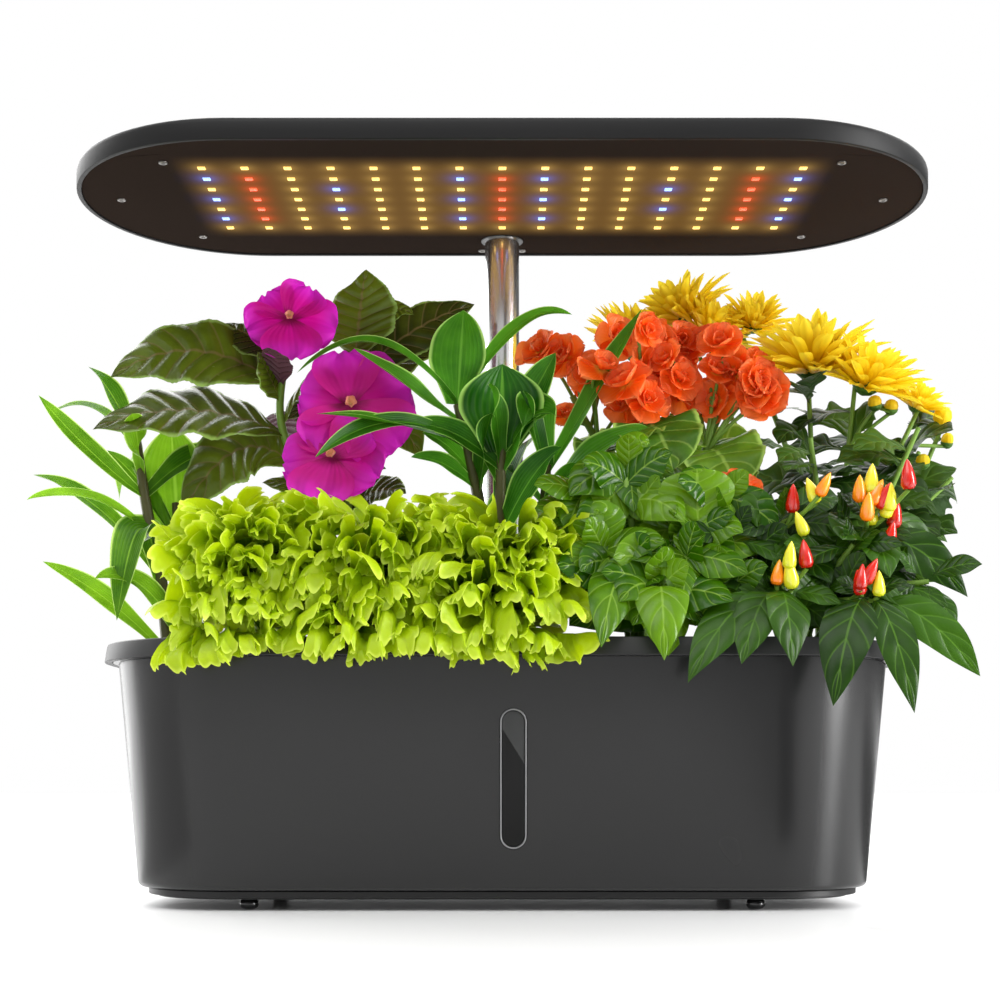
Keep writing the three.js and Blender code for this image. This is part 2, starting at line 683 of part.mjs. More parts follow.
function deckSolid() {
  const inner = tank.lipOut + gap;
  const outer = inner + deck.skirtWall;
  const rim = outer - deck.skirtTaper - deck.edge;
  const slab = planSolid(tank, [
    [inner, deckBottomZ],
    [inner, deckBottomZ - deck.skirtDrop],
    [outer, deckBottomZ - deck.skirtDrop],
    [outer - deck.skirtTaper, rimTopZ - deck.edge],
    [rim, rimTopZ],
    [rim + deck.edge - deck.rimWidth, rimTopZ],
    [rim + deck.edge - deck.rimWidth - deck.rimSlope, deckTopZ],
  ]);
  const low = deckBottomZ - overrun;
  const high = deckTopZ + overrun;
  const podHole = rod(basket.topRadius + gap, low, high, basket.steps);
  const holes = podPlaces.map(([x, y]) => podHole.translate([x, y, 0]));
  holes.push(rod(sleeveOuter + gap, low, high, pole.steps).translate([0, poleY, 0]));
  holes.push(
    box(
      [portX - port.halfLength, portY - port.halfDepth, low],
      [portX + port.halfLength, portY + port.halfDepth, high],
    ),
  );
  const drilled = holes.reduce((solid, hole) => solid.subtract(hole), slab);
  return join([drilled, ...signs.map(earSolid)]);
}

// Fill flap and its pin, in the hinge's own frame
function flapSolid() {
  const low = deckTopZ + gap - hingeZ;
  const high = low + flap.thickness;
  const front = -hinge.back - port.halfDepth - flap.margin;
  const lid = box([-flapHalf, front, low], [flapHalf, 0, high]);
  const tabHigh = [flap.tabHalf, front + flap.thickness, high + flap.tabRise];
  const tab = box([-flap.tabHalf, front, low], tabHigh);
  const barrel = rodAlongX(flap.barrel, -flapHalf, flapHalf, hinge.steps);
  const bore = rodAlongX(hinge.pin + gap, -flapHalf - overrun, flapHalf + overrun, hinge.steps);
  return join([lid, tab, barrel]).subtract(bore);
}

function pinSolid() {
  const half = flapHalf + gap + hinge.earWall + hinge.pinOut;
  return rodAlongX(hinge.pin, -half, half, hinge.steps);
}

// Pod basket, and the sponge plug that every plant grows from
const basketTop = gap + basket.flange;
const plugTop = basketTop + plugRise;

function basketSolid() {
  const cup = lathe(
    [
      [0, -basket.depth],
      [basket.bottomRadius, -basket.depth],
      [basket.topRadius, gap],
      [basket.flangeRadius, gap],
      [basket.flangeRadius, basketTop],
      [basket.topRadius - basket.wall, basketTop],
      [basket.bottomRadius - basket.wall, basket.floor - basket.depth],
      [0, basket.floor - basket.depth],
    ],
    basket.steps,
  );
  const low = 2 * basket.wall + basket.floor - basket.depth;
  const long = basket.topRadius + overrun;
  const wide = basket.slotWidth / 2;
  const slot = box([-long, -wide, low], [long, wide, low + basket.slotHeight]);
  return cup.subtract(slot).subtract(slot.rotate([0, 0, 90]));
}

function plugSolid() {
  const bottom = basket.floor + gap - basket.depth;
  const bottomRadius = basket.bottomRadius - basket.wall - gap;
  const topRadius = basket.topRadius - basket.wall - gap;
  const cone = [[0, bottom], [bottomRadius, bottom], [topRadius, basketTop]];
  return lathe([...cone, [topRadius, plugTop], [0, plugTop]], basket.steps);
}

// Plant parts, in shares of the reach
function along(points, share) {
  const place = share * (points.length - 1);
  const i = Math.min(Math.floor(place), points.length - 2);
  return new THREE.Vector3(...points[i]).lerp(new THREE.Vector3(...points[i + 1]), place - i);
}

// A tapered tube through points
function stemSolid(points, radius, sides = 4) {
  const places = points.map((point) => new THREE.Vector3(...point));
  const side = new THREE.Vector3(...stemAcross);
  const rings = places.map((place, i) => {
    const before = places[Math.max(i - 1, 0)];
    const after = places[Math.min(i + 1, places.length - 1)];
    const direction = after.clone().sub(before).normalize();
    side.addScaledVector(direction, -side.dot(direction)).normalize();
    const other = direction.clone().cross(side);
    const width = radius * (1 - (stemTaperShare * i) / (places.length - 1));
    return Array.from({ length: sides }, (_, j) => {
      const angle = (2 * Math.PI * j) / sides;
      const point = place.clone().addScaledVector(side, width * Math.cos(angle));
      return point.addScaledVector(other, width * Math.sin(angle));
    });
  });
  return ringSolid(rings);
}

// A leaf blade along an arched midrib, with a low keel under it
function leafSolid(base, tip, arch, width, outline) {
  const middle = base.clone().lerp(tip, 0.5).add(new THREE.Vector3(0, 0, 2 * arch));
  const rib = new THREE.QuadraticBezierCurve3(base, middle, tip);
  const facing = new THREE.Vector3(...leafFacing);
  const rings = outline.map(([place, widthShare]) => {
    const point = rib.getPoint(place);
    const side = rib.getTangent(place).cross(facing).normalize();
    const up = side.clone().cross(rib.getTangent(place)).normalize();
    const half = (width * widthShare) / 2;
    const keel = widthShare > 0 ? leafThicknessShare + 2 * half * leafFoldShare : 0;
    const at = (across, above) => point.clone().addScaledVector(side, across).addScaledVector(up, above);
    return [at(half, 0), at(-half, 0), at(0, -keel)];
  });
  return ringSolid(rings);
}

// A bloom: a shallow cup whose point is at its stalk
function bloomSolid(from, centre, radius) {
  const axis = new THREE.Vector3(...flowerFacing).normalize();
  const sides = radius < bloomSides.smallRadiusShare ? bloomSides.small : bloomSides.wide;
  const back = centre.clone().addScaledVector(axis, -radius * bloomShares.stalkTop);
  const turn = new THREE.Quaternion().setFromUnitVectors(new THREE.Vector3(0, 0, 1), axis);
  const ring = (size, depth) =>
    Array.from({ length: sides }, (_, j) => {
      const angle = (2 * Math.PI * j) / sides;
      const point = new THREE.Vector3(size * Math.cos(angle), size * Math.sin(angle), depth);
      return point.applyQuaternion(turn).add(centre);
    });
  const { cupDepth, mouth, mouthDepth } = bloomShares;
  const point = ring(0, -radius * cupDepth);
  const cup = ringSolid([point, ring(radius, 0), ring(radius * mouth, radius * mouthDepth)]);
  return join([cup, stemSolid([from.toArray(), back.toArray()], stalkRadiusShare, stalkSides)]);
}

function fruitSolid(from, base) {
  const { length, radius, shoulder, stalkTop } = fruitShares;
  const low = new THREE.Vector3(...base);
  const ring = (size, height) =>
    Array.from({ length: fruitSides }, (_, j) => {
      const angle = (2 * Math.PI * j) / fruitSides;
      const across = new THREE.Vector3(size * Math.cos(angle), size * Math.sin(angle), height);
      return across.add(low);
    });
  const bottom = ring(radius * fruitShares.base, 0);
  const body = ringSolid([bottom, ring(radius, length * shoulder), ring(0, length)]);
  const end = low.clone().add(new THREE.Vector3(0, 0, length * stalkTop));
  return join([body, stemSolid([from.toArray(), end.toArray()], stalkRadiusShare, stalkSides)]);
}

// From shares of the reach to the pod's own frame
function toDeck(foliage) {
  return foliage.scale(reach).translate([0, 0, growthStartHeight]);
}

function plantSolid({ stems, leaves = [], flowers = [], fruits = [] }, outline) {
  const foliage = [
    ...stems.map((points) => stemSolid(points, stemRadiusShare)),
    ...leaves.map(([stem, share, tip, arch, width]) =>
      leafSolid(along(stems[stem], share), new THREE.Vector3(...tip), arch, width, outline),
    ),
    ...flowers.map(([stem, share, centre, radius]) =>
      bloomSolid(along(stems[stem], share), new THREE.Vector3(...centre), radius),
    ),
    ...fruits.map(([stem, share, base]) => fruitSolid(along(stems[stem], share), base)),
  ];
  return plugSolid().add(toDeck(join(foliage)));
}

function lettuceSolid({ centreShare, widthShare, tipShares }) {
  const { rings, frill, points, stems } = lettuceShares;
  const head = ringSolid(
    rings.map(([radius, z], i) =>
      Array.from({ length: points }, (_, j) => {
        const angle = (2 * Math.PI * j) / points;
        const size = radius * (1 + ((i + j) % 2 ? frill : -frill));
        const x = centreShare + widthShare * size * Math.cos(angle);
        return new THREE.Vector3(x, size * Math.sin(angle), z);
      }),
    ),
  );
  const { y, z, arch, width } = lettuceTipShare;
  const begin = lettuceStartShare;
  const hanging = tipShares.map((x) => {
    const start = new THREE.Vector3(centreShare + x * begin.spread, begin.y, begin.z);
    return leafSolid(start, new THREE.Vector3(x, y, z), arch, width, bluntShares);
  });
  const foliage = join([head, ...hanging, stemSolid(stems[0], stemRadiusShare)]);
  return plugSolid().add(toDeck(foliage));
}

// Pole pieces, stacked on the console
const consoleTopZ = deckTopZ + gap + consoleBox.height;
const socketFloorZ = deckTopZ - socket.depth;
const lowerBottomZ = socketFloorZ + gap;
const lowerTopZ = lowerBottomZ + pole.lowerLength;
const upperBottomZ = lowerTopZ - pole.upperOverlap;
const lampBottomZ = deckTopZ + lampRise;
const boardBottomZ = lampBottomZ + board.recess;
const boardTopZ = boardBottomZ + board.thickness;
const lampCeilingZ = lampBottomZ + lamp.height - lamp.top;
const bracketBottomZ = boardTopZ + gap;
const bracketTopZ = lampCeilingZ - gap;
const upperTopZ = bracketTopZ - bracket.ceiling - gap;
const leadTopZ = upperTopZ - gap;

function socketSolid() {
  const seat = consoleTopZ + gap;
  const flangeRadius = sleeveOuter + socket.flangeOut;
  return lathe(
    [
      [0, socketFloorZ - socket.floor],
      [sleeveOuter, socketFloorZ - socket.floor],
      [sleeveOuter, seat],
      [flangeRadius, seat],
      [flangeRadius, seat + socket.flange],
      [sleeveInner, seat + socket.flange],
      [sleeveInner, socketFloorZ],
      [0, socketFloorZ],
    ],
    pole.steps,
  );
}

function tubeSolid(radius, wall, low, high) {
  const outer = rod(radius, low, high, pole.steps);
  return outer.subtract(rod(radius - wall, low - overrun, high + overrun, pole.steps));
}

function collarSolid() {
  const top = lowerTopZ + collar.above;
  const bottom = top - collar.height;
  const outer = rod(sleeveInner + collar.wall, bottom, top, pole.steps);
  const wide = rod(sleeveInner, bottom - overrun, lowerTopZ + gap, pole.steps);
  const narrow = rod(pole.upperRadius + gap, lowerTopZ, top + overrun, pole.steps);
  return outer.subtract(wide).subtract(narrow);
}

function leadSolid() {
  return rod(pole.leadRadius, lowerBottomZ + gap, leadTopZ, pole.steps / 2);
}

// Lamp pieces
const screwPlaces = [
  ...lampScrewShares.map(([x, y]) => [x * lamp.halfLength, y * lamp.halfDepth]),
  ...signs.map((side) => [side * bracket.screwX, poleY + bracketBack * bracketScrewShare]),
];
const shankTop = lampScrew.length;

function coverSolid() {
  const inner = -lamp.wall;
  const top = lampBottomZ + lamp.height;
  const shell = planSolid(lamp, [
    [inner, lampBottomZ],
    [-lamp.lowerEdge, lampBottomZ],
    [0, lampBottomZ + lamp.lowerEdge],
    [0, top - lamp.topEdge],
    [-lamp.topEdge, top],
  ]);
  const pan = planPrism(lamp, inner, lampBottomZ - overrun, lampCeilingZ);
  const boss = rod(lampScrew.bossRadius, boardTopZ + gap, lampCeilingZ + overrun, lampScrew.steps);
  const bore = rod(lampScrew.radius + gap, boardTopZ, boardBottomZ + shankTop, lampScrew.steps);
  const coverScrews = screwPlaces.slice(0, lampScrewShares.length);
  const bosses = coverScrews.map(([x, y]) => boss.translate([x, y, 0]));
  const bores = coverScrews.map(([x, y]) => bore.translate([x, y, 0]));
  return bores.reduce((solid, hole) => solid.subtract(hole), join([shell.subtract(pan), ...bosses]));
}

function boardSolid() {
  const slab = planPrism(lamp, -lamp.wall - gap, boardBottomZ, boardTopZ);
  const chips = [];
  for (let column = 0; column < led.columns; column++)
    for (let row = 0; row < led.rows; row++) {
      const x = (column - (led.columns - 1) / 2) * led.columnPitch;
      const y = (row - (led.rows - 1) / 2) * led.rowPitch + ledCentreShare * lamp.halfDepth;
      chips.push(
        box(
          [x - led.length / 2, y - led.width / 2, boardBottomZ - led.drop],
          [x + led.length / 2, y + led.width / 2, boardBottomZ + board.thickness / 2],
        ),
      );
    }
  const low = boardBottomZ - overrun;
  const high = boardTopZ + overrun;
  const hole = rod(lampScrew.radius + gap, low, high, lampScrew.steps);
  const drilled = screwPlaces.reduce((solid, [x, y]) => solid.subtract(hole.translate([x, y, 0])), slab);
  const poleHole = rod(pole.upperRadius + gap, low, high, pole.steps).translate([0, poleY, 0]);
  return join([drilled.subtract(poleHole), ...chips]);
}

function screwSolid() {
  const seat = -gap;
  const { headRadius, head, radius, steps } = lampScrew;
  const cap = [[0, seat - head], [headRadius, seat - head], [headRadius, seat]];
  const shank = [[radius, seat], [radius, shankTop - gap], [0, shankTop - gap]];
  return lathe([...cap, ...shank], steps);
}

function bracketSolid() {
  const block = box(
    [-bracket.halfWidth, poleY - bracket.front, bracketBottomZ],
    [bracket.halfWidth, poleY + bracketBack, bracketTopZ],
  );
  const blind = rod(pole.upperRadius + gap, bracketBottomZ - overrun, upperTopZ + gap, pole.steps);
  const boreRadius = lampScrew.radius + gap;
  const bore = rod(boreRadius, bracketBottomZ - overrun, boardBottomZ + shankTop, lampScrew.steps);
  const bracketScrews = screwPlaces.slice(lampScrewShares.length);
  const socketed = block.subtract(blind.translate([0, poleY, 0]));
  return bracketScrews.reduce((solid, [x, y]) => solid.subtract(bore.translate([x, y, 0])), socketed);
}

function driverSolid() {
  const { halfLength, halfDepth } = driver;
  return box([-halfLength, -halfDepth, bracketBottomZ], [halfLength, halfDepth, bracketTopZ]);
}

// Console, with buttons and the inlet in its top and back walls
const buttonTop = consoleTopZ + button.proud;
const buttonBottom = buttonTop - button.proud - button.depth;
const switchTop = buttonBottom - button.travel - gap;
const inletZ = deckTopZ + gap + consoleBox.height * inletHeightShare;
const consoleBackY = poleY + consoleBox.back;
const panelY = consoleBackY - consoleBox.wall;

function rodAlongY(radius, low, high, steps) {
  return rod(radius, low, high, steps).rotate([-90, 0, 0]);
}

function consoleSolid() {
  const bottom = deckTopZ + gap;
  const { wall, left, right, front } = consoleBox;
  const roofZ = consoleTopZ - wall;
  const outer = box([-left, poleY - front, bottom], [right, consoleBackY, consoleTopZ]);
  const hollow = box(
    [wall - left, poleY - front + wall, bottom - overrun],
    [right - wall, panelY, roofZ],
  );
  const buttonHole = rod(button.radius + gap, roofZ - overrun, consoleTopZ + overrun, button.steps);
  const sleeveHole = rod(sleeveOuter + gap, bottom - overrun, consoleTopZ + overrun, pole.steps);
  const inletHole = rodAlongY(inlet.radius + gap, panelY - overrun, consoleBackY + overrun, inlet.steps);
  return outer
    .subtract(hollow)
    .subtract(sleeveHole.translate([0, poleY, 0]))
    .subtract(buttonHole.translate([buttonXs.power, poleY, 0]))
    .subtract(buttonHole.translate([buttonXs.mode, poleY, 0]))
    .subtract(inletHole.translate([inlet.x, 0, inletZ]));
}

function controlBoardSolid() {
  const bottom = deckTopZ + gap;
  const top = bottom + controlBoard.thickness;
  const inset = consoleBox.wall + controlBoard.margin;
  const { left, switchHalf, jackHalf, jackDepth } = controlBoard;
  const slab = box(
    [left, poleY - consoleBox.front + inset, bottom],
    [consoleBox.right - inset, panelY - controlBoard.margin, top],
  );
  const switches = Object.values(buttonXs).map((x) =>
    box([x - switchHalf, poleY - switchHalf, bottom], [x + switchHalf, poleY + switchHalf, switchTop]),
  );
  const jackBack = panelY - inlet.flange - 2 * gap;
  const seat = inletZ - inlet.radius - gap;
  const jackFront = jackBack - jackDepth;
  const jack = box([inlet.x - jackHalf, jackFront, bottom], [inlet.x + jackHalf, jackBack, seat]);
  return join([slab, ...switches, jack]);
}

function buttonSolid() {
  const flangeTop = consoleTopZ - consoleBox.wall - gap;
  const wide = button.radius + button.flangeOut;
  return lathe(
    [
      [0, buttonBottom],
      [button.radius, buttonBottom],
      [button.radius, flangeTop - button.flange],
      [wide, flangeTop - button.flange],
      [wide, flangeTop],
      [button.radius, flangeTop],
      [button.radius, buttonTop],
      [0, buttonTop],
    ],
    button.steps,
  );
}

// Power inlet along Y, its mouth at zero and its body towards the front
function inletSolid() {
  const flangeBack = -inlet.proud - consoleBox.wall - gap;
  const { radius, bore, pin, length, flange, flangeOut } = inlet;
  const depth = length - flange;
  const body = lathe(
    [
      [0, -length],
      [radius, -length],
      [radius, flangeBack - flange],
      [radius + flangeOut, flangeBack - flange],
      [radius + flangeOut, flangeBack],
      [radius, flangeBack],
      [radius, 0],
      [bore, 0],
      [bore, -depth],
      [pin, -depth],
      [pin, -inlet.proud - overrun],
      [0, -inlet.proud - overrun],
    ],
    inlet.steps,
  );
  return body.rotate([-90, 0, 0]);
}

// Pump pieces, in the pump's own frame: its column above the origin, which is on the tank's floor
const pumpX = tank.halfLength * pump.xShare;
const pumpY = tank.halfDepth * pump.yShare;
const pumpTop = pump.above + pump.height;
const rotorZ = pump.above + pump.height / 2;
const cavityRadius = pump.rotorRadius + overrun;
const faceX = -pump.halfLength;
const nozzleX = faceX + pump.rotorLength / 2;
const nozzleZ = rotorZ + cavityRadius - pump.nozzle;

function housingSolid() {
  const { halfLength, halfDepth, above, rotorLength, shaft, shaftLength, steps } = pump;
  const block = box([-halfLength, -halfDepth, above], [halfLength, halfDepth, pumpTop]);
  const cavity = rodAlongX(cavityRadius, faceX - overrun, faceX + rotorLength + gap, steps);
  const bearing = rodAlongX(shaft + gap, faceX, faceX + rotorLength + shaftLength + 2 * gap, steps);
  const outlet = rodAlongY(pump.nozzleBore, -halfDepth - overrun, 0, steps);
  return block
    .subtract(cavity.translate([0, 0, rotorZ]))
    .subtract(bearing.translate([0, 0, rotorZ]))
    .subtract(outlet.translate([nozzleX, 0, nozzleZ]));
}

function coverPlateSolid() {
  const { halfDepth, above, cover, slotHalf, slotPitch } = pump;
  const back = faceX - gap;
  const panel = box([back - cover, -halfDepth, above], [back, halfDepth, pumpTop]);
  const slots = [-1, 0, 1].map((step) => {
    const y = step * slotPitch;
    return box(
      [back - cover - overrun, y - slotHalf, rotorZ - slotPitch],
      [back + overrun, y + slotHalf, rotorZ + slotPitch],
    );
  });
  return slots.reduce((solid, slot) => solid.subtract(slot), panel);
}

function rotorSolid() {
  const { rotorRadius, rotorLength, shaft, shaftLength, vanes, vane, hub, steps } = pump;
  const start = faceX + gap;
  const end = faceX + rotorLength;
  const core = rodAlongX(hub, start, end, steps);
  const axle = rodAlongX(shaft, start, end + shaftLength, steps);
  const blade = box([start, -vane / 2, 0], [end, vane / 2, rotorRadius]);
  const blades = Array.from({ length: vanes }, (_, i) => blade.rotate([(360 * i) / vanes, 0, 0]));
  return join([core, axle, ...blades]);
}

function nozzleSolid() {
  const { halfDepth, nozzle, nozzleBore, nozzleLength, steps } = pump;
  const near = -halfDepth - gap;
  const tube = rodAlongY(nozzle, near - nozzleLength, near, steps);
  return tube.subtract(rodAlongY(nozzleBore, near - nozzleLength - overrun, near + overrun, steps));
}

function columnSolid() {
  const top = deckBottomZ - gap - tankFloorZ;
  return rod(pump.column, pumpTop + gap, top, pump.steps);
}

// Assembly
function buildTank() {
  const group = new THREE.Group();
  addMesh(group, "tank", tankSolid(), charcoal);
  addMesh(group, "base_plate", plateSolid(), blackPlastic);
  const footShape = footSolid();
  footPlaces.forEach(({ name, x, y }) => addMesh(group, name, footShape, glossBlack, [x, y, 0]));
  const sightGroup = new THREE.Group();
  sightGroup.position.set(sight.x, sightY, sightZ);
  sightGroup.rotation.x = THREE.MathUtils.degToRad(draft);
  addMesh(sightGroup, "window_bezel", bezelSolid(), blackPlastic);
  addMesh(sightGroup, "window_lens", lensSolid(), clearLens);
  addMesh(sightGroup, "float_guide", guideSolid(), blackPlastic);
  addMesh(sightGroup, "level_float", floatSolid(), whitePlastic, [0, floatCentre, 0]);
  group.add(sightGroup);
  return group;
}

function buildDeck() {
  const group = new THREE.Group();
  addMesh(group, "deck", deckSolid(), charcoal);
  addMesh(group, "fill_flap", flapSolid(), charcoal, [portX, hingeY, hingeZ]);
  addMesh(group, "flap_pin", pinSolid(), brushedSteel, [portX, hingeY, hingeZ]);
  addMesh(group, "console", consoleSolid(), charcoal);
  addMesh(group, "control_board", controlBoardSolid(), circuitGreen);
  addMesh(group, "power_button", buttonSolid(), blackPlastic, [buttonXs.power, poleY, 0]);
  addMesh(group, "mode_button", buttonSolid(), blackPlastic, [buttonXs.mode, poleY, 0]);
  addMesh(group, "dc_inlet", inletSolid(), blackPlastic, [inlet.x, consoleBackY + inlet.proud, inletZ]);
  return group;
}

function buildPump() {
  const group = new THREE.Group();
  group.position.set(pumpX, pumpY, tankFloorZ);
  addMesh(group, "pump_housing", housingSolid(), blackPlastic);
  addMesh(group, "pump_cover", coverPlateSolid(), blackPlastic);
  addMesh(group, "pump_rotor", rotorSolid(), whitePlastic, [0, 0, rotorZ]);
  addMesh(group, "pump_nozzle", nozzleSolid(), blackPlastic, [nozzleX, 0, nozzleZ]);
  addMesh(group, "pump_column", columnSolid(), blackPlastic);
  return group;
}

function buildPods() {
  const group = new THREE.Group();
  const basketShape = basketSolid();
  const plants = [
    ["plant_dracaena_left", plantSolid(dracaenaLeftShares, strapShares), leafGreen],
    ["plant_impatiens", plantSolid(impatiensShares, ovateShares), leafGreen],
    ["plant_dracaena_centre", plantSolid(dracaenaCentreShares, strapShares), leafGreen],
    ["plant_begonia", plantSolid(begoniaShares, stalkedShares), leafGreen],
    ["plant_mum", plantSolid(mumShares, stalkedShares), leafGreen],
    ...lettuceHeads.map((head) => [head.name, lettuceSolid(head), lettuceGreen]),
    ["plant_basil", plantSolid(basilShares, ovateShares), leafGreen],
    ["plant_pepper", plantSolid(pepperShares, ovateShares), leafGreen],
  ];
  plants.forEach(([name, solid, material], i) => {
    const pod = new THREE.Group();
    pod.position.set(...podPlaces[i], deckTopZ);
    addMesh(pod, name.replace("plant", "basket"), basketShape, blackPlastic);
    addMesh(pod, name, solid, material);
    group.add(pod);
  });
  return group;
}

function buildPole() {
  const lower = tubeSolid(pole.lowerRadius, pole.lowerWall, lowerBottomZ, lowerTopZ);
  const upper = tubeSolid(pole.upperRadius, pole.upperWall, upperBottomZ, upperTopZ);
  const group = new THREE.Group();
  group.position.y = poleY;
  addMesh(group, "pole_socket", socketSolid(), blackPlastic);
  addMesh(group, "lower_tube", lower, brushedSteel);
  addMesh(group, "tube_collar", collarSolid(), blackPlastic);
  addMesh(group, "upper_tube", upper, brushedSteel);
  addMesh(group, "lamp_lead", leadSolid(), blackPlastic);
  return group;
}

function buildLamp() {
  const group = new THREE.Group();
  addMesh(group, "lamp_cover", coverSolid(), lampShell);
  addMesh(group, "led_board", boardSolid(), lampPlate);
  addMesh(group, "lamp_bracket", bracketSolid(), brushedSteel);
  addMesh(group, "led_driver", driverSolid(), whitePlastic, [driver.xShare * lamp.halfLength, 0, 0]);
  const screwShape = screwSolid();
  screwPlaces.forEach(([x, y], i) => {
    addMesh(group, `lamp_screw_${i + 1}`, screwShape, brushedSteel, [x, y, boardBottomZ]);
  });
  return group;
}

const garden = new THREE.Group();
garden.add(buildTank(), buildDeck(), buildPump(), buildPods(), buildPole(), buildLamp());

export default garden;
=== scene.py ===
import math

import bmesh
import bpy
import numpy as np
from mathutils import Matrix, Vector


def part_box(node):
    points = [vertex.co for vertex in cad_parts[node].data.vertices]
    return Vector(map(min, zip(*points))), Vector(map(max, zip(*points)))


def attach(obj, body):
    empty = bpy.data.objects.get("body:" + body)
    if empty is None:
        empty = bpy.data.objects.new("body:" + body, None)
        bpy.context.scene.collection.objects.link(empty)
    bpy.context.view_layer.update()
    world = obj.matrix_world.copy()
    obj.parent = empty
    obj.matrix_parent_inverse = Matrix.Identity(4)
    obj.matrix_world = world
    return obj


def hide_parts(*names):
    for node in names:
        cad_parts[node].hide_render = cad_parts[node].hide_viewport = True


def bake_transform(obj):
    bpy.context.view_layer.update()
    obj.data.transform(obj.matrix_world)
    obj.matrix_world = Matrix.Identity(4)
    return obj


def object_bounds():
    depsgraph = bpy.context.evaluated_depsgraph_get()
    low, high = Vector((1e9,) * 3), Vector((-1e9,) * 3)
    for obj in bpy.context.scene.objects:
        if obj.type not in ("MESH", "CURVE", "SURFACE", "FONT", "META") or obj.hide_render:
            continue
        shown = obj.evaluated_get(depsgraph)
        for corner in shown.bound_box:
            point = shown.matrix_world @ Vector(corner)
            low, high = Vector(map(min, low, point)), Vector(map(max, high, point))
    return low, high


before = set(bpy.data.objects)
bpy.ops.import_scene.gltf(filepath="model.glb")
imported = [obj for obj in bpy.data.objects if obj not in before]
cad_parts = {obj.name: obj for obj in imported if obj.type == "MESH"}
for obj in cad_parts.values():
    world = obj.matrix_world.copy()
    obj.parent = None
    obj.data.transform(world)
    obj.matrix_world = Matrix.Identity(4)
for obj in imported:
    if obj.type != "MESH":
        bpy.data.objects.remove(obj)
cad_low, cad_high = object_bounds()

# Sizes shared by several pieces. Metres, but the heights that come from the frame are in millimetres.
MM = 0.001
TANK_HALF = (181 * MM, 80.5 * MM)
TANK_CORNER = 60 * MM
LAMP_HALF = (205 * MM, 82.5 * MM)
WALL_LEAN = math.radians(5)
TANK_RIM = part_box("tank")[1].z / MM
BASKET_RIM = 2
DECK_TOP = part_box("basket_basil")[1].z / MM - BASKET_RIM
LAMP_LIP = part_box("lamp_cover")[0].z / MM
CORNER_STEPS = 20
ROUND_STEPS = 48
SHARP_ANGLE = math.radians(38)
rng = np.random.default_rng(7)


# Nodes of materials
def fill(tree, entry, value):
    """Link an input to another node's output, or set it to a value"""
    value = getattr(value, "socket", value)
    if isinstance(value, bpy.types.NodeSocket):
        tree.links.new(value, entry)
    elif entry.type == "RGBA":
        entry.default_value = (*value, 1.0)
    else:
        entry.default_value = value


def add_node(tree, kind, inputs=None, **settings):
    made = tree.nodes.new(kind)
    for key, value in settings.items():
        setattr(made, key, value)
    for key, value in (inputs or {}).items():
        fill(tree, made.inputs[key], value)
    return made


class Number:
    """A node's output that is reckoned with like a plain number"""

    def __init__(self, socket):
        self.socket = socket
        self.tree = socket.id_data

    def join(self, operation, first, second=0.0):
        made = add_node(self.tree, "ShaderNodeMath", {0: first, 1: second}, operation=operation)
        return Number(made.outputs[0])

    def math(self, operation, other=0.0):
        return self.join(operation, self, other)

    def __add__(self, other):
        return self.join("ADD", self, other)

    def __sub__(self, other):
        return self.join("SUBTRACT", self, other)

    def __rsub__(self, other):
        return self.join("SUBTRACT", other, self)

    def __mul__(self, other):
        return self.join("MULTIPLY", self, other)

    def ramp(self, low, high):
        """0 at the first value, 1 at the second and smooth between them"""
        inputs = {0: self, 1: low, 2: high}
        made = add_node(self.tree, "ShaderNodeMapRange", inputs, interpolation_type="SMOOTHSTEP")
        return Number(made.outputs[0])


class Nodes:
    """Short names for the nodes of one tree"""

    def __init__(self, tree):
        self.tree = tree

    def node(self, kind, inputs=None, **settings):
        return add_node(self.tree, kind, inputs, **settings)

    def split(self, vector):
        return [Number(part) for part in self.node("ShaderNodeSeparateXYZ", {0: vector}).outputs]

    def mix(self, factor, first, second, blend="MIX"):
        inputs = {0: factor, 6: first, 7: second}
        return self.node("ShaderNodeMix", inputs, data_type="RGBA", blend_type=blend).outputs[2]


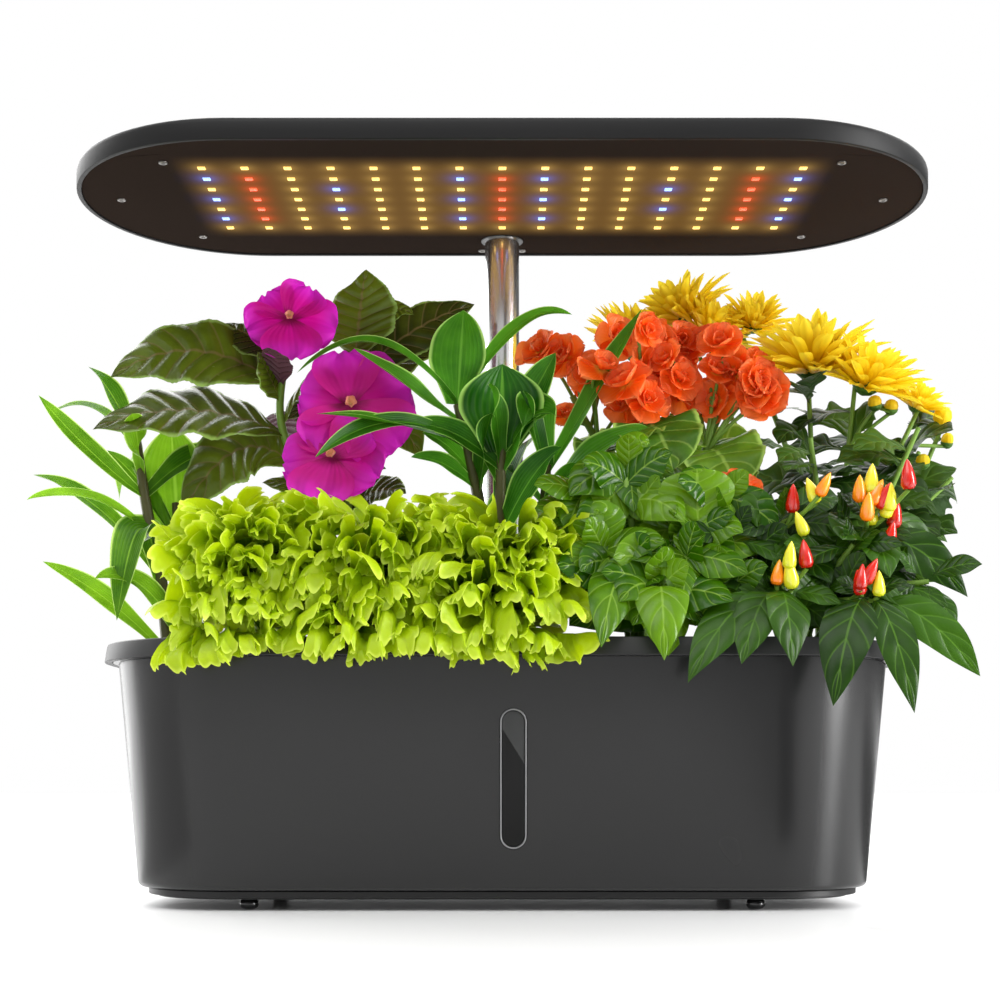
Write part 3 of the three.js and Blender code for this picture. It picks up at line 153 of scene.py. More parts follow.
class Look(Nodes):
    """A material in the making"""

    ENTRIES = {
        "color": "Base Color",
        "roughness": "Roughness",
        "metallic": "Metallic",
        "shine": "Specular IOR Level",
        "coat": "Coat Weight",
        "clear": "Transmission Weight",
        "glow": "Emission Color",
        "power": "Emission Strength",
    }

    def __init__(self, name):
        self.material = bpy.data.materials.new(name)
        self.material.use_nodes = True
        super().__init__(self.material.node_tree)
        self.shader = self.tree.nodes["Principled BSDF"]

    def noise(self, scale, detail=3.0, stretch=(1, 1, 1)):
        spot = self.node("ShaderNodeTexCoord").outputs["Object"]
        placed = self.node("ShaderNodeMapping", {"Vector": spot, "Scale": stretch}).outputs[0]
        inputs = {"Vector": placed, "Scale": scale, "Detail": detail}
        return Number(self.node("ShaderNodeTexNoise", inputs).outputs["Fac"])

    def on_blade(self):
        """How far along a leaf or petal, how far across it, and its own tint"""
        along, across, _ = self.split(self.node("ShaderNodeUVMap", uv_map="place").outputs[0])
        tint = self.node("ShaderNodeAttribute", attribute_name="tint").outputs["Fac"]
        return along, across, Number(tint)

    def set(self, **values):
        for name, value in values.items():
            fill(self.tree, self.shader.inputs[self.ENTRIES[name]], value)

    def bump(self, height, strength, distance=0.2 * MM):
        made = self.node("ShaderNodeBump", {"Height": height, "Strength": strength, "Distance": distance})
        fill(self.tree, self.shader.inputs["Normal"], made.outputs[0])

    def shine_through(self, color, share):
        """Let a share of the light through, a little paler"""
        paler = self.mix(0.5, color, (1, 1, 1), "SOFT_LIGHT")
        thin = self.node("ShaderNodeBsdfTranslucent", {"Color": paler}).outputs[0]
        mixed = self.node("ShaderNodeMixShader", {0: share, 1: self.shader.outputs[0], 2: thin})
        out = next(made for made in self.tree.nodes if made.type == "OUTPUT_MATERIAL")
        fill(self.tree, out.inputs["Surface"], mixed.outputs[0])


# Materials of the hard pieces
def plastic(name, color, roughness, grain=0.08, coat=0.0, shine=0.4):
    look = Look(name)
    broad = look.noise(14)
    fine = look.noise(2200, 2.0)
    darker = [0.86 * part for part in color]
    look.set(color=look.mix(broad, darker, color), roughness=broad * 0.12 + (roughness - 0.06))
    look.set(coat=coat, shine=shine)
    look.bump(fine, grain)
    return look.material


def brushed(name, color, roughness):
    look = Look(name)
    lines = look.noise(900, 4.0, (1, 1, 0.01))
    paler = [min(1.0, 1.15 * part) for part in color]
    look.set(metallic=1.0, color=look.mix(lines, color, paler), roughness=lines * 0.22 + (roughness - 0.1))
    look.bump(lines, 0.12, 0.05 * MM)
    return look.material


def bright_metal(name, color, roughness):
    look = Look(name)
    look.set(metallic=1.0, color=color, roughness=look.noise(400) * 0.2 + roughness)
    return look.material


def board_green():
    look = Look("solder_mask")
    mask = look.noise(260, 0.0, (1, 4, 1)).ramp(0.5, 0.53)
    look.set(color=look.mix(mask, (0.01, 0.09, 0.04), (0.02, 0.16, 0.07)), roughness=0.35)
    look.bump(mask, 0.2)
    return look.material


def window_glass():
    """Smoked and clear, with a painted reflection: a little paler above a slanted line"""
    look = Look("smoked_window")
    streak = look.noise(60, 2.0, (1, 1, 0.3))
    x, _, z = look.split(look.node("ShaderNodeTexCoord").outputs["Object"])
    # Painted reflection: the glass is paler above a slanted line across it
    paler = (x * 1.6 + z).ramp(0.081, 0.0818)
    look.set(color=look.mix(paler, (0.002, 0.002, 0.002), (0.044, 0.045, 0.045)))
    look.set(clear=0.25, shine=0.1, roughness=streak * 0.06 + 0.04)
    return look.material


def sponge():
    look = Look("growing_sponge")
    cells = look.noise(700, 6.0)
    look.set(color=look.mix(cells, (0.01, 0.008, 0.006), (0.07, 0.05, 0.035)), roughness=0.95)
    look.bump(cells, 0.9, 1 * MM)
    return look.material


def lamp_face():
    look = Look("lamp_face")
    grain = look.noise(1800, 2.0)
    # Painted glow: the face emits the light that the lights would throw on it, though it is no lamp
    glow = look.node("ShaderNodeAttribute", attribute_name="glow").outputs["Color"]
    look.set(color=look.mix(grain, (0.018, 0.013, 0.0105), (0.024, 0.017, 0.014)))
    look.set(roughness=0.6, shine=0.0, glow=glow, power=1.0)
    look.bump(grain, 0.08)
    return look.material


def led_light(name, color, strength):
    look = Look(name)
    level = look.noise(3000, 1.0) * (0.4 * strength) + 0.8 * strength
    look.set(color=color, glow=color, power=level)
    return look.material


CHARCOAL = plastic("charcoal_plastic", (0.0115, 0.0115, 0.0117), 0.25, shine=0.36)
DECK_CHARCOAL = plastic("deck_plastic", (0.018, 0.018, 0.0183), 0.45)
BLACK = plastic("black_plastic", (0.007, 0.007, 0.0072), 0.42)
GLOSS_BLACK = plastic("gloss_black", (0.006, 0.006, 0.006), 0.12, 0.01, 0.6)
BASKET_BLACK = plastic("basket_plastic", (0.014, 0.014, 0.014), 0.5)
WHITE_PLASTIC = plastic("white_plastic", (0.8, 0.8, 0.8), 0.4)
LAMP_SHELL = plastic("lamp_shell", (0.008, 0.008, 0.0082), 0.5, shine=0.2)
EDGE_GREY = plastic("window_edge", (0.2, 0.2, 0.205), 0.35)
STEEL = brushed("brushed_steel", (0.88, 0.88, 0.88), 0.2)
BRIGHT = bright_metal("bright_steel", (0.75, 0.75, 0.75), 0.2)
DARK_METAL = bright_metal("dark_steel", (0.16, 0.15, 0.14), 0.3)
CABLE = plastic("cable", (0.01, 0.01, 0.01), 0.5)
CIRCUIT = board_green()
GLASS = window_glass()
SPONGE = sponge()
LAMP_FACE = lamp_face()
IN_BLACK = (BLACK, "black_plastic")


# Meshes
def link_new(name, data):
    made = bpy.data.objects.new(name, data)
    bpy.context.scene.collection.objects.link(made)
    return made


def finish_mesh(name, points, faces, material, smooth=True):
    mesh = bpy.data.meshes.new(name)
    mesh.from_pydata([tuple(point) for point in points], [], faces)
    mesh.materials.append(material)
    made = link_new(name, mesh)
    shade(made, smooth)
    return made


def shade(piece, smooth=True):
    """Smooth shading with sharp edges where two faces meet at more than the sharp angle"""
    work = bmesh.new()
    work.from_mesh(piece.data)
    bmesh.ops.remove_doubles(work, verts=work.verts, dist=1e-7)
    bmesh.ops.recalc_face_normals(work, faces=work.faces)
    for face in work.faces:
        face.smooth = smooth
    for edge in work.edges:
        edge.smooth = len(edge.link_faces) != 2 or edge.calc_face_angle(0) < SHARP_ANGLE
    work.to_mesh(piece.data)
    work.free()


def band(first, second, count):
    """Faces between two closed rings of points, which start at two places in a list"""
    faces = []
    for i in range(count):
        k = (i + 1) % count
        faces.append((first + i, first + k, second + k, second + i))
    return faces


def loft(name, rings, material, capped=True):
    """A skin over rings with equal numbers of points, closed at both ends"""
    count = len(rings[0])
    points = [point for ring in rings for point in ring]
    faces = []
    for row in range(len(rings) - 1):
        faces += band(row * count, (row + 1) * count, count)
    if capped:
        last = (len(rings) - 1) * count
        faces.append(tuple(range(count))[::-1])
        faces.append(tuple(range(last, last + count)))
    return finish_mesh(name, points, faces, material)


def plan_ring(half, corner, offset, z):
    """A rounded rectangle grown by an offset, at a height"""
    radius = corner + offset
    points = []
    for quarter, (side_x, side_y) in enumerate(((1, 1), (-1, 1), (-1, -1), (1, -1))):
        for step in range(CORNER_STEPS + 1):
            angle = math.pi / 2 * (quarter + step / CORNER_STEPS)
            x = side_x * (half[0] - corner) + radius * math.cos(angle)
            y = side_y * (half[1] - corner) + radius * math.sin(angle)
            points.append((x, y, z))
    return points


def plan_loft(name, half, corner, profile, material):
    """A rounded box from (offset, height) pairs in millimetres"""
    rings = [plan_ring(half, corner, offset * MM, z * MM) for offset, z in profile]
    return loft(name, rings, material)


def turned(name, profile, material, place=(0, 0, 0), steps=ROUND_STEPS, axis="Z"):
    """A solid of revolution from (radius, height) pairs in millimetres"""
    rings = []
    for radius, height in profile:
        size = max(radius, 0.001) * MM
        ring = []
        for step in range(steps):
            angle = 2 * math.pi * step / steps
            a, b, c = size * math.cos(angle), size * math.sin(angle), height * MM
            point = {"Z": (a, b, c), "X": (c, a, b), "Y": (b, c, a)}[axis]
            ring.append(tuple(point[i] + place[i] for i in range(3)))
        rings.append(ring)
    return loft(name, rings, material)


def bar(inner, outer, low, high, bevel):
    """The profile of a bar or tube whose outer edges are bevelled by a width and a height"""
    wide, tall = bevel
    lower = [(inner, low), (outer - wide, low), (outer, low + tall)]
    return lower + [(outer, high - tall), (outer - wide, high), (inner, high)]


def turn_piece(name, profile, look, place, body, *nodes, steps=ROUND_STEPS, axis="Z"):
    """A settled solid of revolution. Its look is its material and its slot, which is not used"""
    material, slot = look
    settle(turned(name, profile, material, place, steps, axis), body, slot, *nodes)


def drill(radius, low, high, place, steps=32, axis="Z"):
    """A cutter for a round hole"""
    return turned("hole", [(radius, low), (radius, high)], BLACK, place, steps, axis)


def block(name, low, high, material=BLACK):
    corners = [(x, y, z) for x in (low[0], high[0]) for y in (low[1], high[1]) for z in (low[2], high[2])]
    faces = [(0, 1, 3, 2), (4, 6, 7, 5), (0, 4, 5, 1), (2, 3, 7, 6), (0, 2, 6, 4), (1, 5, 7, 3)]
    return finish_mesh(name, corners, faces, material)


def slab(name, low, high, material, edge):
    """A block with rounded edges"""
    made = block(name, low, high, material)
    round_edges(made, edge)
    return made


def round_edges(piece, width):
    bevel = piece.modifiers.new("rounding", "BEVEL")
    bevel.width = width
    bevel.segments = 3
    bevel.limit_method = "ANGLE"
    bevel.angle_limit = math.radians(40)
    bevel.harden_normals = True


def cut(piece, cutters):
    """Cut the piece with other pieces, which are then removed"""
    for cutter in cutters:
        step = piece.modifiers.new("cut", "BOOLEAN")
        step.operation = "DIFFERENCE"
        step.solver = "EXACT"
        step.object = cutter
    graph = bpy.context.evaluated_depsgraph_get()
    mesh = bpy.data.meshes.new_from_object(piece.evaluated_get(graph))
    piece.modifiers.clear()
    piece.data = mesh
    for cutter in cutters:
        bpy.data.objects.remove(cutter)
    shade(piece)


def settle(piece, body, slot, *nodes):
    """Give a finished piece its body and hide the frame's nodes it stands for. The slot is not used"""
    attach(piece, body)
    if nodes:
        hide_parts(*nodes)
    return piece


def settle_shown(node, material, rounding=0.5 * MM):
    """A frame node that stays: its material, rounded edges and smooth shading"""
    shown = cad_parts[node]
    shown.data.materials.clear()
    shown.data.materials.append(material)
    for face in shown.data.polygons:
        face.use_smooth = True
        face.material_index = 0
    round_edges(shown, rounding)


def middle_of(node):
    low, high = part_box(node)
    return (low + high) / 2


def heights_of(node):
    low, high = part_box(node)
    return low.z / MM, high.z / MM


# Tank, plate and feet
def wall_offset(z):
    return (z - TANK_RIM) * math.tan(WALL_LEAN)


def build_tank():
    rim = TANK_RIM
    profile = [
        (wall_offset(9.2) - 3, 9.2),
        (wall_offset(9.2) - 1.8, 9.3),
        (wall_offset(9.8) - 0.9, 9.8),
        (wall_offset(10.6) - 0.25, 10.6),
        (wall_offset(11.6), 11.6),
        (wall_offset(rim - 2.4), rim - 2.4),
        (wall_offset(rim - 2.2) + 0.6, rim - 2.2),
    ]
    profile += [(2.2, rim - 2.1), (2.4, rim - 1.9), (2.4, rim - 0.2), (2.2, rim), (-2.5, rim)]
    profile += [(wall_offset(15) - 2.5, 15), (wall_offset(13) - 3.5, 12.6), (wall_offset(12) - 5, 12)]
    tank = plan_loft("tank_shell", TANK_HALF, TANK_CORNER, profile, CHARCOAL)
    cut(tank, [window_loft("slot", [(0.3, -3), (0.3, 6)], BLACK)])
    settle(tank, "tank", "charcoal_plastic", "tank")


def build_plate():
    edge = wall_offset(9.2) - 4.7
    profile = [(edge - 4.5, 4.9), (edge - 4.5, 5.9), (edge - 0.4, 5.9)]
    profile += [(edge, 6.2), (edge, 8.6), (edge - 0.3, 8.9)]
    plate = plan_loft("plinth_plate", TANK_HALF, TANK_CORNER, profile, BLACK)
    settle(plate, "tank", "black_plastic", "base_plate")


def build_feet():
    curve = [(0.5, 0), (2.2, 0.08), (3.2, 0.5), (3.95, 1.2), (4.35, 2.1)]
    curve += [(4.35, 3), (4, 3.9), (3.6, 4.5), (0, 4.6)]
    for name in ("foot_front_left", "foot_rear_left", "foot_front_right", "foot_rear_right"):
        middle = middle_of(name)
        place = (middle.x, middle.y, 0)
        turn_piece(name + "_pad", curve, (GLOSS_BLACK, "gloss_black"), place, "tank", name)


# Water window, which leans with the wall
WINDOW_MIDDLE = (4.8 * MM, -75.57 * MM, 59.16 * MM)
WINDOW_HALF = (5.9, 31.2)


def to_window(points):
    """From the window's own frame, with depth along Y, to the tank's"""
    sine, cosine = math.sin(WALL_LEAN), math.cos(WALL_LEAN)
    moved = []
    for x, y, z in points:
        back, up = y * cosine - z * sine, y * sine + z * cosine
        moved.append((WINDOW_MIDDLE[0] + x, WINDOW_MIDDLE[1] + back, WINDOW_MIDDLE[2] + up))
    return moved


def window_outline(offset, steps=16):
    radius, straight = WINDOW_HALF[0] + offset, WINDOW_HALF[1] - WINDOW_HALF[0]
    points = []
    for side in (1, -1):
        for step in range(steps + 1):
            angle = math.pi * step / steps + (0 if side > 0 else math.pi)
            points.append((radius * math.cos(angle) * MM, (side * straight + radius * math.sin(angle)) * MM))
    return points


def window_loft(name, steps, material, capped=True):
    """A skin over outlines, each grown by an offset and at a depth behind the wall's face, in millimetres"""
    rings = [to_window([(x, depth * MM, z) for x, z in window_outline(offset)]) for offset, depth in steps]
    return loft(name, rings, material, capped)


def build_window():
    steps = [(0, 2.5), (0, -0.15), (-0.1, -0.32), (-0.25, -0.38)]
    steps += [(-0.45, -0.38), (-0.6, -0.3), (-0.7, -0.1), (-0.7, 2.5)]
    ring = window_loft("window_frame", steps, EDGE_GREY, capped=False)
    settle(ring, "tank", "black_plastic", "window_bezel")
    pane = window_loft("window_pane", [(-1.4, 0.1), (-1.1, 0.13), (-1.0, 0.3), (-1.0, 2)], GLASS)
    settle(pane, "tank", "window_glass", "window_lens")


def build_float():
    middle = middle_of("level_float")
    body = [(0, -5), (3.2, -4.9), (3.9, -4.2), (4, -3.6), (4, 3.6), (3.9, 4.2), (3.2, 4.9), (0, 5)]
    turn_piece("float_drum", body, IN_BLACK, middle, "float", "level_float", steps=32)
    dot = [(0, -0.9), (0.5, -0.75), (0.85, -0.3), (0.85, 0.3), (0.5, 0.75), (0, 0.9)]
    place = (middle.x, middle.y - 3.6 * MM, middle.z)
    turn_piece("float_mark", dot, (WHITE_PLASTIC, "white_plastic"), place, "float", steps=20)


# Deck with its rim, pod holes and the fill port
POLE_Y = middle_of("upper_tube").y
PODS = [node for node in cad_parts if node.startswith("basket_")]
PORT = (-60.454 * MM, 57.96 * MM)
PORT_HALF = (19 * MM, 10 * MM)
POD_HOLE = 15.4
POLE_HOLE = 14.3


def build_deck():
    top = DECK_TOP
    outline = [(2.7, top - 3), (2.7, top - 5.3), (2.9, top - 5.4), (5.9, top - 5.4), (6.2, top - 5.1)]
    outline += [(5.05, top + 2.1), (4.8, top + 2.5), (4.4, top + 2.7), (2.0, top + 2.7), (1.6, top + 2.5)]
    outline += [(1.3, top + 2.0), (0.9, top + 0.2), (0.4, top)]
    deck = plan_loft("deck_tray", TANK_HALF, TANK_CORNER, outline, DECK_CHARCOAL)
    bottom, above = top - 8, top + 5
    cutters = []
    for node in PODS:
        middle = middle_of(node)
        cutters.append(drill(POD_HOLE, bottom, above, (middle.x, middle.y, 0)))
    cutters.append(drill(POLE_HOLE, bottom, above, (0, POLE_Y, 0)))
    low = (PORT[0] - PORT_HALF[0], PORT[1] - PORT_HALF[1], bottom * MM)
    high = (PORT[0] + PORT_HALF[0], PORT[1] + PORT_HALF[1], above * MM)
    cutters.append(block("port_hole", low, high))
    cut(deck, cutters)
    for side, label in ((-1, "left"), (1, "right")):
        near = PORT[0] + side * 22.3 * MM
        ear_low = (near - 1 * MM, PORT[1] + 11 * MM, (top - 0.2) * MM)
        ear_high = (near + 1 * MM, PORT[1] + 16 * MM, (top + 5) * MM)
        ear = slab("hinge_ear_" + label, ear_low, ear_high, DECK_CHARCOAL, 0.7 * MM)
        settle(ear, "deck", "deck_plastic")
    settle(deck, "deck", "deck_plastic", "deck")


def build_baskets():
    wall = [(0, -41), (11, -41), (11.5, -40.5), (15.1, 0), (15.1, 0.3), (18.2, 0.3), (18.5, 0.6), (18.5, 1.6)]
    wall += [(18.1, 2.0), (14.6, 2.0), (13.9, 1.6), (10.4, -39.4), (0, -39.6)]
    plug = [(0, -39), (9.9, -39), (13.4, 1.4), (13.2, 2.5), (12.4, 2.8), (0, 2.8)]
    slot_count = 3
    for node in PODS:
        middle = middle_of(node)
        place = (middle.x, middle.y, DECK_TOP * MM)
        cup = turned(node + "_cup", wall, BASKET_BLACK, place)
        cutters = []
        for turn in range(slot_count):
            slot = block("slot", (-20 * MM, -1.6 * MM, -37 * MM), (20 * MM, 1.6 * MM, -14 * MM))
            slot.rotation_euler.z = math.pi / slot_count * turn
            slot.location = place
            cutters.append(slot)
        bpy.context.view_layer.update()
        cut(cup, cutters)
        settle(cup, "deck", "basket_plastic", node)
        turn_piece(node.replace("basket", "plug"), plug, (SPONGE, "sponge"), place, "deck", steps=32)


# Fill flap and its pin
def build_flap():
    low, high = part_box("fill_flap")
    middle = (low + high) / 2
    lid_low = (low.x, low.y, low.z + 0.05 * MM)
    lid_high = (high.x, high.y - 2 * MM, low.z + 1.6 * MM)
    lid = slab("port_lid", lid_low, lid_high, DECK_CHARCOAL, 0.5 * MM)
    settle(lid, "flap", "deck_plastic", "fill_flap")
    tab_low = (middle.x - 6 * MM, low.y, low.z + 1 * MM)
    tab_high = (middle.x + 6 * MM, low.y + 1.6 * MM, high.z)
    settle(slab("lid_tab", tab_low, tab_high, DECK_CHARCOAL, 0.6 * MM), "flap", "deck_plastic")
    pin_low, pin_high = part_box("flap_pin")
    centre, bevel = (pin_low + pin_high) / 2, (0.2, 0.3)
    half = (high.x - low.x) / 2 / MM
    barrel = bar(0.95, 2.1, -half, half, bevel)
    turn_piece("lid_knuckle", barrel, (DECK_CHARCOAL, "deck_plastic"), centre, "flap", steps=32, axis="X")
    half = (pin_high.x - pin_low.x) / 2 / MM
    rod = bar(0, 0.9, -half, half, bevel)
    turn_piece("hinge_pin", rod, (BRIGHT, "steel"), centre, "deck", "flap_pin", steps=24, axis="X")


# Console with its buttons and inlet
def round_case(case, top):
    """Round the upright edges, and then those round the top"""
    work = bmesh.new()
    work.from_mesh(case.data)
    upright = [edge for edge in work.edges if abs(edge.verts[0].co.z - edge.verts[1].co.z) > 1 * MM]
    bmesh.ops.bevel(work, geom=upright, offset=5 * MM, segments=8, affect="EDGES", profile=0.5)
    upper = [edge for edge in work.edges if min(vertex.co.z for vertex in edge.verts) > top - 0.01 * MM]
    bmesh.ops.bevel(work, geom=upper, offset=1.2 * MM, segments=4, affect="EDGES", profile=0.5)
    work.to_mesh(case.data)
    work.free()


def build_console():
    low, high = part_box("console")
    case = block("console_case", low, high, DECK_CHARCOAL)
    round_case(case, high.z)
    below, above = 120, 145
    cutters = []
    for name in ("power_button", "mode_button"):
        middle = middle_of(name)
        cutters.append(drill(5.3, below, above, (middle.x, middle.y, 0)))
    cutters.append(drill(POLE_HOLE, below, above, (0, POLE_Y, 0), 48))
    inlet = middle_of("dc_inlet")
    cutters.append(drill(4.2, -2, 2, (inlet.x, high.y, inlet.z), 32, "Y"))
    cutters.append(block("hollow", low + Vector((2, 2, -1)) * MM, high - Vector((2, 2, 2)) * MM))
    cut(case, cutters)
    settle(case, "deck", "deck_plastic", "console")
    build_button("power_button")
    build_button("mode_button")
    build_inlet(inlet, high.y)
    settle_shown("control_board", CIRCUIT, 0.15 * MM)


def build_button(name):
    middle = middle_of(name)
    bottom, top = heights_of(name)
    profile = [(0, bottom), (5, bottom), (5, top - 4.3), (5.8, top - 4.3)]
    profile += [(5.8, top - 3.4), (5, top - 3.4), (5, top - 0.7), (4.8, top - 0.25)]
    profile += [(4.4, top), (3.6, top - 0.05), (2, top - 0.3), (0, top - 0.4)]
    turn_piece(name + "_cap", profile, IN_BLACK, (middle.x, middle.y, 0), name, name, steps=40)


def build_inlet(middle, back):
    profile = [(0, -9), (3.9, -9), (3.9, 0), (3.6, 0.01), (2.9, 0), (2.7, -0.3), (2.7, -6), (0.9, -6)]
    profile += [(0.8, -1.6), (0.5, -1.2), (0, -1.2)]
    place = (middle.x, back + 0.3 * MM, middle.z)
    turn_piece("inlet_jack", profile, IN_BLACK, place, "deck", "dc_inlet", steps=40, axis="Y")


# Pump below the deck
def build_pump():
    settle_shown("pump_housing", BLACK)
    settle_shown("pump_cover", BLACK, 0.3 * MM)
    settle_shown("pump_rotor", WHITE_PLASTIC, 0.2 * MM)
    for node, axis, bore in (("pump_nozzle", "Y", 2.6), ("pump_column", "Z", 0)):
        low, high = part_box(node)
        reach = (high - low)["XYZ".index(axis)] / 2 / MM
        wall = bar(bore, 4, -reach, reach, (0.2, 0.2))
        if bore:
            wall.append(wall[0])
        turn_piece(node + "_tube", wall, IN_BLACK, (low + high) / 2, "deck", node, steps=32, axis=axis)


# Pole
def build_tube(name, outer, wall, body, node):
    low, high = heights_of(node)
    profile = bar(outer - wall, outer, low, high, (0.3, 0.3))
    profile.append(profile[0])
    turn_piece(name, profile, (STEEL, "brushed_steel"), (0, POLE_Y, 0), body, node, steps=64)


def build_ring(name, profile, body, *nodes):
    turn_piece(name, profile, IN_BLACK, (0, POLE_Y, 0), body, *nodes, steps=64)


def build_lead():
    """The lead in the pole: a plain tube over the length of the frame's lead"""
    low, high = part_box("lamp_lead")
    radius = (high.x - low.x) / 2 / MM
    rings = 60
    heights = np.linspace(low.z / MM, high.z / MM, rings)
    profile = [(0, heights[0])] + [(radius, height) for height in heights] + [(0, heights[-1])]
    lead = turned("lead_cable", profile, CABLE, (0, POLE_Y, 0), 16)
    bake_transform(lead)
    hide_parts("lamp_lead")


def build_pole():
    build_tube("pole_lower", 11, 1.1, "deck", "lower_tube")
    build_tube("pole_upper", 9, 1, "lamp", "upper_tube")
    low, high = heights_of("tube_collar")
    tube_top = heights_of("lower_tube")[1] + 0.1
    collar = [(11.3, low), (12.3, low), (12.6, low + 0.4), (12.6, high - 1.6), (12.2, high - 0.6)]
    collar += [(11.2, high), (9.3, high), (9.3, tube_top), (11.3, tube_top), (11.3, low)]
    build_ring("pole_collar", collar, "deck", "tube_collar")
    low, high = heights_of("pole_socket")
    cup = [(0, low), (13.4, low), (14, low + 0.6), (14, high - 2), (16.6, high - 2), (17, high - 1.6)]
    cup += [(17, high - 1), (16.6, high - 0.3), (15.6, high), (11.8, high), (11.3, high - 0.5)]
    cup += [(11.3, low + 2), (0, low + 2)]
    build_ring("socket_cup", cup, "deck", "pole_socket")
    build_lead()
    low, high = LAMP_LIP + 0.3, LAMP_LIP + 0.75
    grommet = [(9.05, low), (10.6, low), (10.9, low + 0.25), (10.9, high), (9.05, high), (9.05, low)]
    build_ring("pole_grommet", grommet, "lamp")


# Lamp
LED_COLUMNS, LED_ROWS = 15, 7
LED_PITCH = (19.8 * MM, 13.8 * MM)
LED_MIDDLE_Y = -0.044 * LAMP_HALF[1]
FACE_Z = (LAMP_LIP + 0.8) * MM
# Each kind of light: its name, its chip's colour and strength, and the colour and strength of the glow
# painted round it on the face
LIGHTS = {
    "Y": ("warm", (1.0, 0.62, 0.15), 1.2, (1.0, 0.62, 0.16), 0.38),
    "R": ("red", (1.0, 0.1, 0.04), 1.3, (1.0, 0.06, 0.015), 0.72),
    "B": ("blue", (0.26, 0.42, 1.0), 1.6, (0.09, 0.2, 1.0), 0.6),
}
COLUMN_COLORS = {0: "YBYBYBY", 6: "YBYBYBY", 8: "YBYBYBY", 14: "YBYBYBY"}
COLUMN_COLORS.update({1: "YRRRRRY", 7: "YRRRRRY", 13: "YRRRRRY", 3: "YYBYBYY", 11: "YYBYBYY"})
# The face's painted glow: halos round each light and an amber wash over the zone of lights, which the face
# emits though it is no lamp
PAINTED_GLOW_REACH = 3.6 * MM
PAINTED_GLOW_END = 16 * MM
PAINTED_GLOW_ZONE_COLOR = np.array((0.118, 0.057, 0.01))
PAINTED_GLOW_ZONE_HALF = (152 * MM, 56 * MM)
PAINTED_GLOW_ZONE_EDGE = 18 * MM


def led_places():
    """Each light's place and its colour letter"""
    for column in range(LED_COLUMNS):
        letters = COLUMN_COLORS.get(column, "Y" * LED_ROWS)
        for row in range(LED_ROWS):
            x = (column - (LED_COLUMNS - 1) / 2) * LED_PITCH[0]
            y = (row - (LED_ROWS - 1) / 2) * LED_PITCH[1] + LED_MIDDLE_Y
            yield x, y, letters[row]


def build_shell():
    low = LAMP_LIP
    profile = [(-2.2, low + 8), (-2.2, low + 0.2), (-2.0, low), (-0.5, low), (-0.1, low + 0.2)]
    profile += [(0, low + 0.5), (0, low + 7.4), (-0.3, low + 8.5), (-1.0, low + 9.4), (-2.2, low + 10)]
    shell = plan_loft("lamp_shell", LAMP_HALF, LAMP_HALF[1], profile, LAMP_SHELL)
    settle(shell, "lamp", "lamp_shell", "lamp_cover")


def painted_glow_at(xs, ys):
    """Painted glow that the face shows at places, summed over the lights near them, with a faint painted
    amber glow over the zone of lights
    """
    total = np.zeros((len(xs), 3))
    for led_x, led_y, letter in led_places():
        near = np.hypot(xs - led_x, ys - led_y)
        color, strength = LIGHTS[letter][3:]
        level = strength * np.exp(-((near / PAINTED_GLOW_REACH) ** 1.15)) * (near <= PAINTED_GLOW_END)
        total += level[:, None] * np.array(color)
    painted_zone_x = np.clip((PAINTED_GLOW_ZONE_HALF[0] - abs(xs)) / PAINTED_GLOW_ZONE_EDGE, 0, 1)
    painted_zone_y = np.clip((PAINTED_GLOW_ZONE_HALF[1] - abs(ys - LED_MIDDLE_Y)) / PAINTED_GLOW_ZONE_EDGE, 0, 1)
    return total + PAINTED_GLOW_ZONE_COLOR * (painted_zone_x * painted_zone_y)[:, None]


def rounded_place(x, y, half):
    """Where a point on the grid's edge goes on the face's rounded outline"""
    radius = LAMP_HALF[1] - 2.5 * MM
    straight = LAMP_HALF[0] - LAMP_HALF[1]
    y_share = (y - LED_MIDDLE_Y) / half[1]
    on_long_side = abs(abs(y - LED_MIDDLE_Y) - half[1]) < 1e-6
    if on_long_side and abs(x) <= straight:
        return x, math.copysign(radius, y_share)
    x_share = max(abs(x) - straight, 0) / (half[0] - straight)
    angle = math.atan2(y_share, x_share if on_long_side else 1.0)
    return math.copysign(straight + radius * math.cos(angle), x), radius * math.sin(angle)


